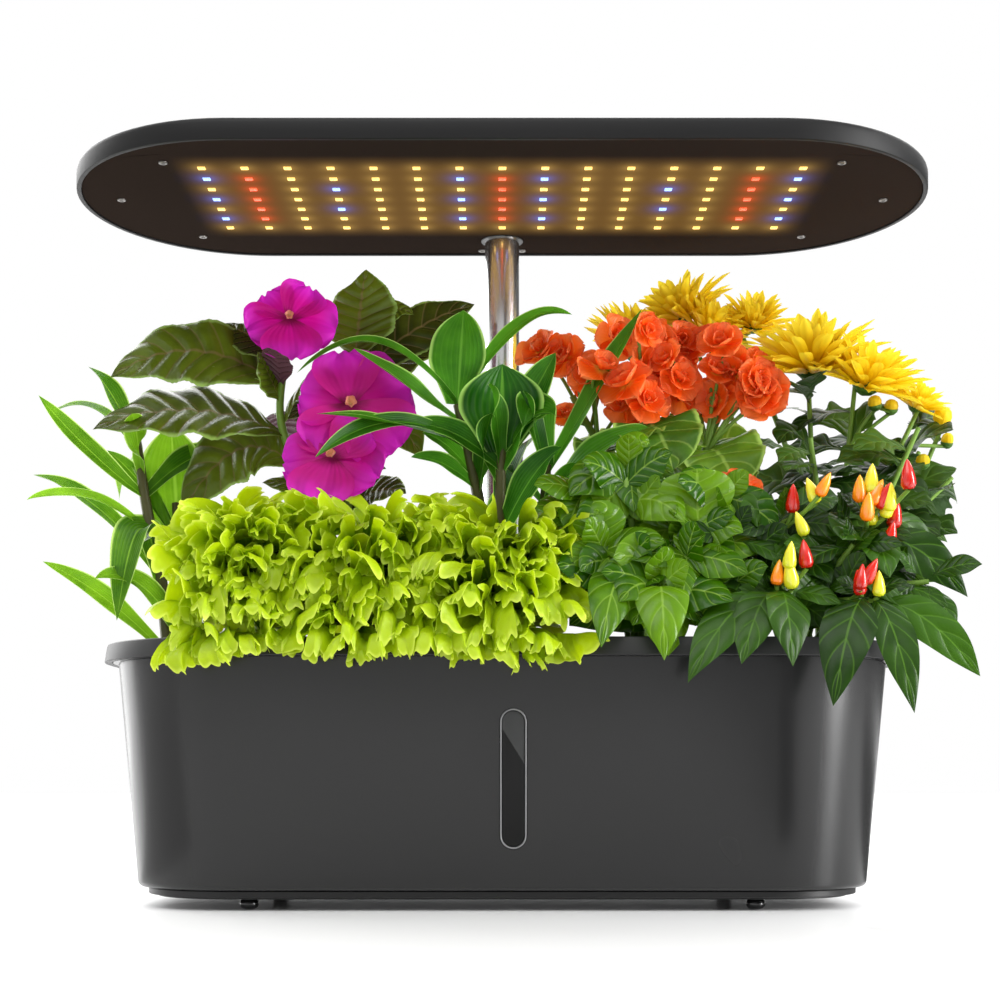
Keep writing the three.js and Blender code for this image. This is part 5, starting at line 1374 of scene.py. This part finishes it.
BEGONIA = {
    "kind": "round",
    "skins": (ROUND, STEM),
    "stem_radius": 0.028,
    "widen": 1.6,
    "stems": [
        [(-0.01, -0.06, -0.15), (-0.05, -0.08, 0.6), (-0.12, -0.1, 1.15)],
        [(0.06, 0.02, -0.15), (0.12, -0.04, 0.6), (0.25, -0.1, 1.1)],
        [(-0.06, 0.04, -0.15), (-0.2, 0.02, 0.7), (-0.45, 0, 1.22)],
    ],
    "leaves": [
        (1, 0.8, 0.31, -0.35, 0.7, 0.08, 0.28), (0, 0.9, 0.01, -0.4, 0.775, 0.08, 0.27),
        (2, 0.6, -0.36, -0.2, 0.81, 0.1, 0.2), (1, 0.6, 0.515, 0.1, 0.92, 0.1, 0.25),
        (0, 0.5, -0.3, 0.1, 0.75, 0.1, 0.25),
    ],
    "flowers": [
        (0, 0.8, -0.2, -0.25, 1.22, 0.1), (0, 0.87, -0.09, -0.12, 1.33, 0.09),
        (1, 0.93, 0.34, -0.15, 1.3, 0.09), (1, 0.8, 0.47, -0.2, 1.18, 0.09),
        (2, 0.97, -0.61, -0.02, 1.44, 0.09), (2, 0.9, -0.48, -0.05, 1.4, 0.09),
        (2, 0.83, -0.23, -0.02, 1.5, 0.08), (0, 0.98, -0.02, 0, 1.48, 0.08),
        (1, 0.99, 0.21, 0, 1.48, 0.08), (1, 0.86, 0.1, 0.05, 1.51, 0.07),
        (0, 0.93, 0.065, -0.15, 1.265, 0.08), (1, 0.6, 0.29, -0.45, 0.65, 0.09),
        (2, 0.85, -0.48, -0.04, 1.11, 0.06), (2, 0.77, -0.375, -0.1, 1.3, 0.08),
    ],
}
MUM = {
    "kind": "lobed",
    "skins": (LOBED, STEM),
    "stem_radius": 0.02,
    "widen": 1.2,
    "stems": [
        [(-0.02, -0.03, -0.15), (-0.05, -0.02, 0.6), (-0.08, -0.02, 1.33)],
        [(0.04, -0.05, -0.15), (0.08, -0.06, 0.6), (0.14, -0.08, 1.25)],
        [(0.05, 0.01, -0.15), (0.23, 0, 0.6), (0.47, 0, 1.15)],
        [(-0.02, 0.05, -0.15), (-0.2, 0.26, 0.7), (-0.6, 0.35, 1.55)],
        [(-0.08, 0.01, -0.15), (-0.34, 0.18, 0.7), (-0.88, 0.33, 1.5)],
        [(0.07, 0.03, -0.15), (0.13, 0.04, 0.1), (0.4, 0.06, 0.6), (0.6, 0.02, 1.08)],
        [(0.04, 0.08, -0.15), (-0.08, 0.24, 0.8), (-0.36, 0.3, 1.6)],
    ],
    "sides": [
        [(0.05, 0, -0.15), (0.3, -0.06, 0.45), (0.62, -0.08, 0.8)],
        [(0.04, 0, -0.15), (0.2, -0.2, 0.5), (0.4, -0.3, 1.0)],
        [(0, 0, -0.15), (-0.05, -0.22, 0.5), (-0.12, -0.3, 0.95)],
        [(0.05, 0.04, -0.15), (0.3, 0.2, 0.5), (0.55, 0.3, 1.0)],
    ],
    "leaves": [
        (1, 0.6, 0.55, -0.1, 0.6, 0.1, 0.2), (2, 0.5, 0.685, 0, 0.86, 0.05, 0.2),
        (0, 0.7, -0.25, -0.15, 0.95, 0.1, 0.2), (1, 0.75, 0.3, -0.15, 1.1, 0.1, 0.2),
        (0, 0.4, -0.35, -0.1, 0.55, 0.1, 0.2), (2, 0.35, 0.5, 0.1, 0.5, 0.1, 0.2),
        (0, 0.6, 0.2, -0.2, 0.7, 0.1, 0.2), (1, 0.4, 0.2, 0.72, 0.5, 0.2, 0.2),
        (2, 0.6, 0.45, 0.6, 0.9, 0.15, 0.2),
    ],
    "flowers": [
        (0, 1, -0.07, -0.04, 1.4, 0.33), (1, 1, 0.2, -0.12, 1.29, 0.28), (2, 1, 0.47, 0, 1.19, 0.16),
        (4, 1, -0.9, 0.33, 1.57, 0.28), (3, 1, -0.68, 0.38, 1.76, 0.26), (3, 1, -0.52, 0.3, 1.64, 0.24),
        (6, 1, -0.3, 0.3, 1.68, 0.2), (5, 1, 0.6, 0.02, 1.12, 0.05),
    ],
    "axes": [
        (-0.1, -0.35, 1), (0.3, -0.4, 0.95), (0.45, -0.3, 0.9), (0.3, -0.35, 0.9),
        (-0.5, -0.3, 0.85), (0.55, -0.3, 0.8), (0.1, -0.5, 0.85), (0.2, -0.3, 0.95),
    ],
    "buds": [
        (0.31, -0.12, 1.14), (0.62, 0.0, 1.0), (0.22, -0.2, 0.92), (0.22, -0.16, 1.15), (0.45, -0.18, 0.86),
    ],
}
BASIL = {
    "kind": "basil",
    "skins": (BASIL_GREEN, STEM),
    "stem_radius": 0.022,
    "widen": 1.55,
    "stems": [
        [(-0.02, 0.03, -0.15), (-0.04, -0.07, 0.3), (-0.1, -0.15, 0.6), (-0.08, -0.1, 0.73)],
        [(0.06, 0.02, -0.15), (0.12, -0.13, 0.25), (0.22, -0.2, 0.43)],
        [(-0.05, -0.03, -0.15), (-0.06, -0.07, 0.07), (-0.1, -0.25, 0.17), (-0.22, -0.3, 0.33)],
        [(0.03, -0.04, -0.15), (0.04, -0.08, 0.07), (0.05, -0.3, 0.12), (0.03, -0.38, 0.14)],
    ],
    "sides": [
        [(-0.05, 0, -0.15), (-0.15, -0.05, 0.3), (-0.3, -0.12, 0.62)],
        [(0.05, 0, -0.15), (0.2, -0.08, 0.25), (0.36, -0.15, 0.6)],
        [(0.03, -0.03, -0.15), (0.08, -0.2, 0.15), (0.16, -0.32, 0.3)],
        [(0, -0.04, -0.15), (0.2, -0.16, 0.1), (0.36, -0.3, 0.16)],
    ],
    "leaves": [
        (0, 0.85, -0.36, -0.2, 0.585, 0.06, 0.16), (0, 1, 0.015, -0.05, 0.85, 0.05, 0.14),
        (0, 0.6, 0.15, -0.3, 0.45, 0.06, 0.14), (2, 1, -0.24, -0.35, 0.49, 0.05, 0.15),
        (1, 1, 0.21, -0.25, 0.7, 0.05, 0.22), (0, 0.3, -0.015, -0.4, 0.25, 0.06, 0.15),
        (2, 0.5, 0.02, -0.45, 0.165, 0.05, 0.16), (2, 0.8, -0.32, -0.4, 0.22, 0.05, 0.12),
        (2, 0.7, -0.24, -0.62, -0.13, 0.12, 0.14), (3, 0.8, -0.155, -0.5, 0.075, 0.06, 0.15),
        (3, 1, 0.03, -0.62, -0.185, 0.12, 0.15), (1, 0.5, 0.2, -0.38, 0.09, 0.08, 0.13),
        (1, 0.8, 0.41, -0.3, 0.405, 0.05, 0.13), (0, 0.5, -0.05, 0.12, 0.5, 0.08, 0.15),
    ],
}
PEPPER = {
    "kind": "lance",
    "skins": (PEPPER_GREEN, STEM),
    "stem_radius": 0.02,
    "widen": 1.5,
    "stems": [
        [(-0.02, 0.03, -0.15), (-0.04, -0.08, 0.25), (-0.05, -0.15, 0.48)],
        [(0.06, 0.02, -0.15), (0.18, -0.1, 0.3), (0.37, -0.15, 0.48)],
        [(-0.04, -0.03, -0.15), (-0.05, -0.07, 0.07), (-0.07, -0.2, 0.11), (-0.1, -0.34, 0.13)],
        [(0.05, -0.04, -0.15), (0.07, -0.07, 0.07), (0.18, -0.22, 0.11), (0.3, -0.34, 0.1)],
    ],
    "sides": [
        [(0.02, 0, -0.15), (0.15, -0.15, 0.2), (0.25, -0.25, 0.36)],
        [(0.05, 0, -0.15), (0.3, -0.12, 0.15), (0.6, -0.2, 0.2)],
        [(0, 0, -0.15), (-0.15, -0.1, 0.2), (-0.3, -0.2, 0.4)],
    ],
    "leaves": [
        (2, 0.7, -0.43, -0.35, 0.16, 0.06, 0.13), (2, 0.9, -0.53, -0.62, -0.28, 0.12, 0.13),
        (2, 1, -0.3, -0.6, -0.2, 0.1, 0.13), (2, 0.96, -0.08, -0.6, -0.21, 0.12, 0.14),
        (3, 1, 0.09, -0.62, -0.38, 0.15, 0.16), (3, 0.95, 0.44, -0.6, -0.41, 0.15, 0.12),
        (3, 0.9, 0.775, -0.4, -0.24, 0.1, 0.13), (1, 0.5, 0.68, -0.2, -0.06, 0.12, 0.08),
        (1, 0.6, 0.615, -0.1, 0.1, 0.08, 0.08), (1, 0.75, 0.775, -0.2, 0.13, 0.1, 0.13),
        (1, 0.95, 0.67, -0.05, 0.345, 0.08, 0.08), (0, 0.6, 0.14, -0.3, 0.18, 0.06, 0.12),
        (1, 0.8, 0.19, -0.3, 0.375, 0.04, 0.15), (0, 0.9, -0.25, -0.2, 0.51, 0.05, 0.12),
        (0, 1, 0.23, -0.05, 0.59, 0.05, 0.12), (1, 0.9, 0.39, -0.35, 0.2, 0.05, 0.12),
    ],
    "fruits": [
        (0, 0.9, -0.015, -0.2, 0.51), (1, 0.88, 0.34, -0.21, 0.45), (1, 0.97, 0.46, -0.12, 0.53),
        (1, 0.92, 0.44, -0.2, 0.44), (0, 0.7, 0.035, -0.25, 0.4), (1, 0.8, 0.4, -0.25, 0.335),
        (2, 0.95, -0.12, -0.4, 0.16), (2, 0.8, -0.05, -0.4, 0.145), (3, 0.85, 0.25, -0.4, 0.115),
        (3, 0.97, 0.33, -0.4, 0.11),
    ],
}


# Lettuce: leaves whose edges wind to and fro, in tiers round the head, over broad plain leaves
def broad_leaf(base, turn, tilts, length, rows=8, columns=25):
    """A plain fan that bends from tilt to tilt"""
    out = np.array((math.cos(turn), math.sin(turn), 0.0))
    side = np.array((-math.sin(turn), math.cos(turn), 0.0))
    swing = np.linspace(-1.4, 1.4, columns)[None, :]
    share = np.linspace(0.03, 1, rows)[:, None]
    phase = rng.uniform(0, 6.3)
    frill = 1 + 0.05 * share**4 * np.sin(17 * swing + phase)
    radius = length * share * (0.62 + 0.38 * np.cos(swing)) * frill
    ahead, across = radius * np.cos(swing), radius * np.sin(swing)
    tilt = tilts[0] + (tilts[1] - tilts[0]) * ahead / length
    height = 0.06 * length * share**2 * np.sin(8 * swing + phase)
    forward, rise = ahead * np.sin(tilt), ahead * np.cos(tilt) + height
    return base + forward[..., None] * out + across[..., None] * side + rise[..., None] * UP


def frilled_leaf(base, across, growth, length, height, bends, tilts, rows=12, columns=161):
    """A blade that grows from a narrow foot; its edge winds in loops and bends over towards the viewer"""
    across = unit(across - growth * np.dot(across, growth))
    toward = np.cross(across, growth)
    s = np.linspace(-1, 1, columns)[None, :]
    t = np.linspace(0, 1, rows)[:, None]
    phases = rng.uniform(0, 6.3, 7)
    turn = math.pi * bends * s + 0.7 * np.sin(2.3 * s + phases[0]) + phases[1]
    swell = t**1.4
    loop = length / bends
    strength = 1 + 0.35 * np.sin(0.43 * turn + phases[2])
    sway = 0.36 * loop * strength * swell * np.sin(turn)
    sway = sway + 0.13 * loop * t**3 * np.sin(2.7 * turn + phases[3]) - 0.16 * length * s**2
    lean = length / 2 * (0.5 + 0.5 * t) * s - 0.11 * loop * strength * swell * np.sin(2 * turn)
    lean = lean + 0.07 * loop * t**4 * np.sin(4.1 * turn + phases[4])
    lobes = 0.12 * np.sin(turn + phases[5]) + 0.07 * np.sin(2.3 * turn + phases[6])
    teeth = 0.1 * np.abs(np.sin(5.3 * turn + phases[3])) + 0.05 * np.sin(2.9 * turn)
    reach = t * (1 - 0.28 * s**4 + t**3 * (lobes + teeth))
    steps = np.linspace(0, 1.4, 50)
    angles = tilts[0] + (tilts[1] - tilts[0]) * steps
    gone = np.concatenate([[0], np.cumsum(np.sin(angles)[:-1])]) * steps[1]
    risen = np.concatenate([[0], np.cumsum(np.cos(angles)[:-1])]) * steps[1]
    angle = tilts[0] + (tilts[1] - tilts[0]) * reach
    forward = height * np.interp(reach, steps, gone) + sway * np.cos(angle)
    upward = height * np.interp(reach, steps, risen) - sway * np.sin(angle)
    return base + lean[..., None] * across + forward[..., None] * toward + upward[..., None] * growth


# Tiers of leaves: how many, how wide the tier, its height and depth, and the way that it faces
LETTUCE_TIERS = [
    (5, 0.23, -0.09, -0.44, (0, -1, 0.0)),
    (4, 0.24, 0.02, -0.42, (0, -1, 0.1)),
    (5, 0.26, 0.1, -0.38, (0, -1, 0.3)),
    (5, 0.27, 0.19, -0.32, (0, -1, 0.45)),
    (5, 0.27, 0.28, -0.26, (0, -1, 0.6)),
    (5, 0.27, 0.37, -0.17, (0, -0.9, 0.8)),
    (4, 0.26, 0.45, -0.05, (0, -0.6, 1)),
    (3, 0.22, 0.48, 0.08, (0, -0.1, 1)),
    (3, 0.2, 0.4, 0.2, (0, 0.6, 0.9)),
    (3, 0.2, 0.25, 0.28, (0, 1, 0.5)),
    (3, 0.2, 0.08, 0.3, (0, 1, 0.2)),
]
HEAD_HEIGHT = 0.16
PLAIN_LEAVES = 22
DECK_SHARE = -0.055
HEM_SHARE = -0.14


def over_rim(points):
    """Behind the rim the leaves rest on the deck, and in front of it they hang a little"""
    heights = points[..., 2]
    hanging = np.where(heights < HEM_SHARE, HEM_SHARE + 0.62 * (heights - HEM_SHARE), heights)
    points[..., 2] = np.where(points[..., 1] > RIM_SHARE, np.maximum(heights, DECK_SHARE), hanging)
    return points


def build_lettuce(name, centre, wide):
    place = pod_place(name)
    skin = Skin()
    middle = np.array((centre, 0, HEAD_HEIGHT))
    for i in range(PLAIN_LEAVES):
        tilts = (0.5 + 0.03 * i, 1.0 + 0.03 * i)
        base = middle - (0.012 * i - 0.1) * UP
        points = broad_leaf(base, GOLDEN_TURN * i, tilts, 0.33 * rng.uniform(0.9, 1.1))
        points[..., 0] = centre + (points[..., 0] - centre) * wide
        skin.add(over_rim(points), rng.uniform(0.0, 0.2))
    for count, half, height, depth, facing in LETTUCE_TIERS:
        for i in range(count):
            x = half * (2 * i / (count - 1) - 1) + rng.uniform(-0.05, 0.05)
            jitter = rng.uniform(-0.03, 0.03, 2)
            outward = unit(np.array(facing, float) + (1.8 * x, 0, 0) + rng.uniform(-0.2, 0.2, 3))
            growth = unit(outward + rng.uniform(0.3, 1.0) * UP)
            across = unit(np.cross(UP, growth)) + rng.uniform(-0.35, 0.35, 3)
            spot = np.array((centre + wide * x, depth + jitter[0], height + jitter[1])) - 0.06 * outward
            tilts = (rng.uniform(-0.3, 0.3), rng.uniform(1.2, 2.2))
            size, rise, bends = rng.uniform(0.3, 0.4), rng.uniform(0.17, 0.24), rng.uniform(1.7, 2.4)
            leaf = frilled_leaf(spot, across, growth, size, rise, bends, tilts)
            skin.add(over_rim(leaf), rng.uniform(0.1, 1.0))
    stalk = Skin()
    stalk.add_tube([(centre * 0.5, 0, -0.15), (centre, 0, 0.1), (centre, 0, 0.3)], 0.06, 0.04)
    stalk.build(name + "_stalk", STEM, place, "leaf_lettuce")
    skin.build(name + "_leaves", LETTUCE, place, "leaf_lettuce", "plant_" + name)


def build_dracaena(name, table, count):
    grow(name, table, scattered(table["stems"], count, (0.32, 0.55), 0.3, 0.3, 0.95, -0.3, 1.6))


def flower_stalk(skin, table, stem, share, centre, behind, radius, end_radius):
    """From a stem's side to behind a flower, and into it"""
    base = along(table["stems"][stem], share)
    skin.add_tube([base, (base + behind) / 2 + 0.02 * UP, behind, centre], radius, end_radius)


def build_impatiens():
    table = IMPATIENS
    place = grow("impatiens", table, scattered(table["stems"], 12, (0.3, 0.5), 0.5, 0.3, 0.9, 0.3, 0.5))
    petals, eyes, stalks = Skin(), Skin(), Skin()
    facings = [(0.1, -0.93, 0.3), (0.15, -0.95, 0.15), (-0.1, -0.9, 0.35)]
    for (stem, share, *centre, radius), axis, turn in zip(table["flowers"], facings, (0.5, 1.2, 0.2)):
        centre = np.array(centre)
        impatiens_flower(petals, eyes, centre, axis, 1.2 * radius, turn)
        flower_stalk(stalks, table, stem, share, centre, centre - 0.1 * np.array(axis), 0.012, 0.01)
    petals.build("impatiens_petals", MAGENTA, place, "petal_magenta")
    eyes.build("impatiens_eyes", EYE, place, "petal_magenta")
    stalks.build("impatiens_stalks", STEM, place, "leaf_impatiens")


def build_begonia():
    table = BEGONIA
    place = grow("begonia", table, scattered(table["stems"], 20, (0.24, 0.38), 0.95, 0.25, 0.85, 0.4, 0.4))
    petals, stalks = Skin(), Skin()
    flowers = [(stem, share, centre, 1.35 * radius) for stem, share, *centre, radius in table["flowers"]]
    for _ in range(20):
        centre = (rng.uniform(-0.5, 0.52), rng.uniform(-0.25, 0.12), rng.uniform(1.12, 1.5))
        stem = (2, 0, 1)[int((centre[0] + 0.5) * 2.9)]
        flowers.append((stem, rng.uniform(0.7, 0.95), centre, rng.uniform(0.08, 0.12)))
    for stem, share, centre, radius in flowers:
        centre = np.array(centre)
        axis = np.array((rng.uniform(-0.9, 0.9), -1, rng.uniform(-0.3, 1.1)))
        rosette(petals, centre, axis, radius, rng.uniform(0, 6))
        flower_stalk(stalks, table, stem, share, centre, centre - 0.05 * axis, 0.01, 0.008)
    petals.build("begonia_petals", ORANGE, place, "petal_orange")
    stalks.build("begonia_stalks", STEM, place, "leaf_begonia")


def build_mum():
    table = MUM
    stems = table["stems"]
    more = scattered(stems[:3] + table["sides"], 84, (0.26, 0.42), 0.62, 0.3, 0.93, 0.35, 0.3)
    more += scattered(stems[3:], 24, (0.12, 0.22), 0.55, 0.2, 0.85, 0.3, 0.3)
    place = grow("mum", table, more)
    petals, sepals, stalks = Skin(), Skin(), Skin()
    for (stem, share, *centre, radius), axis in zip(table["flowers"], table["axes"]):
        centre, axis = np.array(centre), unit(np.array(axis))
        base = centre - 0.25 * radius * axis
        if radius > 0.1:
            mum_flower(petals, base, axis, 1.12 * radius)
        else:
            petals.add(cup_points(centre, axis, BUD, radius), 0.3, True)
        sepals.add(cup_points(base, axis, CALYX, radius), 0.5, True)
        start = along(stems[stem], share)
        stalks.add_tube([start, (start + base) / 2, base], 0.014, 0.016)
    start = along(stems[1], 0.75)
    for centre in np.array(table["buds"]):
        axis = np.array((rng.uniform(-0.3, 0.3), -0.4, 1.0))
        base = centre - 0.03 * unit(axis)
        petals.add(cup_points(centre, axis, BUD, 0.035), 0.6, True)
        sepals.add(cup_points(base, axis, CALYX, 0.13), 0.5, True)
        stalks.add_tube([start, (start + centre) / 2, base], 0.01, 0.01)
    petals.build("mum_petals", YELLOW, place, "petal_yellow")
    sepals.build("mum_calyxes", SEPAL, place, "leaf_mum")
    stalks.build("mum_stalks", STEM, place, "leaf_mum")


def build_basil():
    grow("basil", BASIL, crosses(BASIL, (0.5, 0.75, 0.98), (0.35, 0.33, 0.26), 0.7))


def build_pepper():
    stems = PEPPER["stems"]
    place = grow("pepper", PEPPER, crosses(PEPPER, (0.45, 0.7, 0.95), (0.36, 0.34, 0.28), 0.44))
    fruits = [(stem, share, np.array(base)) for stem, share, *base in PEPPER["fruits"]]
    for i in range(14):
        stem = (1, 1, 0, 3, 1, 2)[i % 6]
        share = rng.uniform(0.8, 1)
        shift = np.array((rng.uniform(-0.1, 0.14), rng.uniform(-0.24, -0.08), rng.uniform(0, 0.14)))
        fruits.append((stem, share, along(stems[stem], share) + shift))
    skins, stalks = [Skin(), Skin(), Skin()], Skin()
    for i, (stem, share, base) in enumerate(fruits):
        axis = np.array((rng.uniform(-0.5, 0.5), rng.uniform(-0.6, 0.1), 1.0))
        fruit = cup_points(base, axis, FRUIT, rng.uniform(0.029, 0.035), 16, 1.7)
        skins[(0, 1, 2, 0, 1, 0, 2, 1)[i % 8]].add(fruit, rng.uniform(0, 1), True)
        start = along(stems[stem], share)
        stalks.add_tube([start, (start + base) / 2 - 0.01 * UP, base], 0.008, 0.01)
    for skin, (label, material) in zip(skins, FRUITS):
        skin.build("pepper_fruits_" + label, material, place, "fruit")
    stalks.build("pepper_stalks", STEM, place, "leaf_pepper")


# Stage, lights and camera
def stage_material(name, color, roughness):
    look = Look(name)
    paler = [0.99 * part for part in color]
    look.set(color=look.mix(look.noise(3, 1.0), color, paler), roughness=roughness)
    return look.material


def stage_card(name, places, height, material):
    points = [(x, y, height) for x, y in places]
    card = finish_mesh(name, points, [(0, 1, 2, 3)], material, smooth=False)
    return card


def studio_light(nodes):
    """Light from all round, with a dim room in front and dark walls that shade the right corner"""
    x, y, z = nodes.split(nodes.node("ShaderNodeTexCoord").outputs["Generated"])
    low = z.ramp(0.75, 0.5)
    front = y.ramp(-0.72, -0.86) * low
    beside = x.ramp(0.12, 0.24) * y.ramp(-0.76, -0.9)
    behind = x.ramp(0.3, 0.5) * y.ramp(0.08, 0.3)
    right = beside.math("MAXIMUM", behind) * low
    return 1.0 - (front * 0.45).math("MAXIMUM", right * 0.92)


def build_world():
    world = bpy.data.worlds.new("studio")
    bpy.context.scene.world = world
    world.use_nodes = True
    nodes = Nodes(world.node_tree)
    nodes.tree.nodes.clear()
    rays = nodes.node("ShaderNodeLightPath").outputs
    seen = Number(rays["Is Camera Ray"]).math("MAXIMUM", rays["Is Transmission Ray"])
    white = (1, 1, 1)
    plain = nodes.node("ShaderNodeBackground", {"Color": white, "Strength": 1.0}).outputs[0]
    lit = nodes.node("ShaderNodeBackground", {"Color": white, "Strength": studio_light(nodes)}).outputs[0]
    mixed = nodes.node("ShaderNodeMixShader", {0: seen, 1: lit, 2: plain}).outputs[0]
    nodes.node("ShaderNodeOutputWorld", {0: mixed})


def build_floor():
    paper = stage_material("pale_floor", (0.95, 0.95, 0.95), 0.3)
    stage_card("floor", [(-6, -3), (6, -3), (6, 9), (-6, 9)], 0, paper)


def build_flags():
    """Dark cards on the floor that only shiny faces see: they darken bands round the tank's corners"""
    black = stage_material("flag_black", (0.004, 0.004, 0.004), 0.9)
    grey = stage_material("flag_grey", (0.45, 0.45, 0.45), 0.9)
    cards = (
        ("flag_front", black, [(0.14, -0.14), (0.18, -0.155), (0.78, -1.44), (0.36, -1.57)]),
        ("flag_back", black, [(0.21, 0.02), (1.4, 0.3), (1.0, 1.3), (0.2, 0.14)]),
        ("flag_left", grey, [(-0.21, 0.02), (-1.4, 0.25), (-1.2, -0.7), (-0.2, -0.12)]),
    )
    for name, material, places in cards:
        flag = stage_card(name, places, 0.5 * MM, material)
        flag.visible_camera = False
        flag.visible_diffuse = False
        flag.visible_transmission = False
        flag.visible_shadow = False


def area_light(name, place, target, size, power):
    data = bpy.data.lights.new(name, "AREA")
    data.shape = "RECTANGLE"
    data.size, data.size_y = size
    data.energy = power
    lamp = link_new(name, data)
    lamp.location = place
    lamp.rotation_euler = (Vector(target) - Vector(place)).to_track_quat("-Z", "Y").to_euler()


def build_lights():
    area_light("key_above", (-0.4, -1.2, 1.9), (0, 0, 0.15), (1.6, 1.2), 18.5)
    area_light("strip_right", (1.27, -0.5, 0.35), (0.155, -0.07, 0.1), (0.34, 1.2), 26)
    area_light("wall_left", (-1.15, 0.85, 0.5), (0, 0, 0.15), (0.9, 1.4), 11)
    area_light("far_floor", (0, 4.0, 3.0), (0, 4.0, 0), (9, 5), 420)


def build_camera():
    data = bpy.data.cameras.new("view")
    data.sensor_width = 36
    data.lens = 60.56
    data.shift_y = 0.2837
    camera = link_new("view", data)
    camera.location = (-0.0011, -0.820, 0.0571)
    camera.rotation_euler = (math.pi / 2, 0, 0)
    bpy.context.scene.camera = camera


# The object, from the feet up
build_tank()
build_plate()
build_feet()
build_window()
build_float()
build_deck()
build_baskets()
build_flap()
build_console()
build_pump()
build_pole()
build_lamp()
build_dracaena("dracaena_left", DRACAENA_LEFT, 7)
build_dracaena("dracaena_centre", DRACAENA_CENTRE, 18)
build_impatiens()
build_begonia()
build_mum()
build_basil()
build_pepper()
build_lettuce("lettuce_left", 0.14, 0.62)
build_lettuce("lettuce_middle", 0.02, 0.9)
build_lettuce("lettuce_right", -0.03, 0.93)

build_floor()
build_world()
build_flags()
build_lights()
build_camera()
bpy.context.scene.view_settings.view_transform = "Standard"
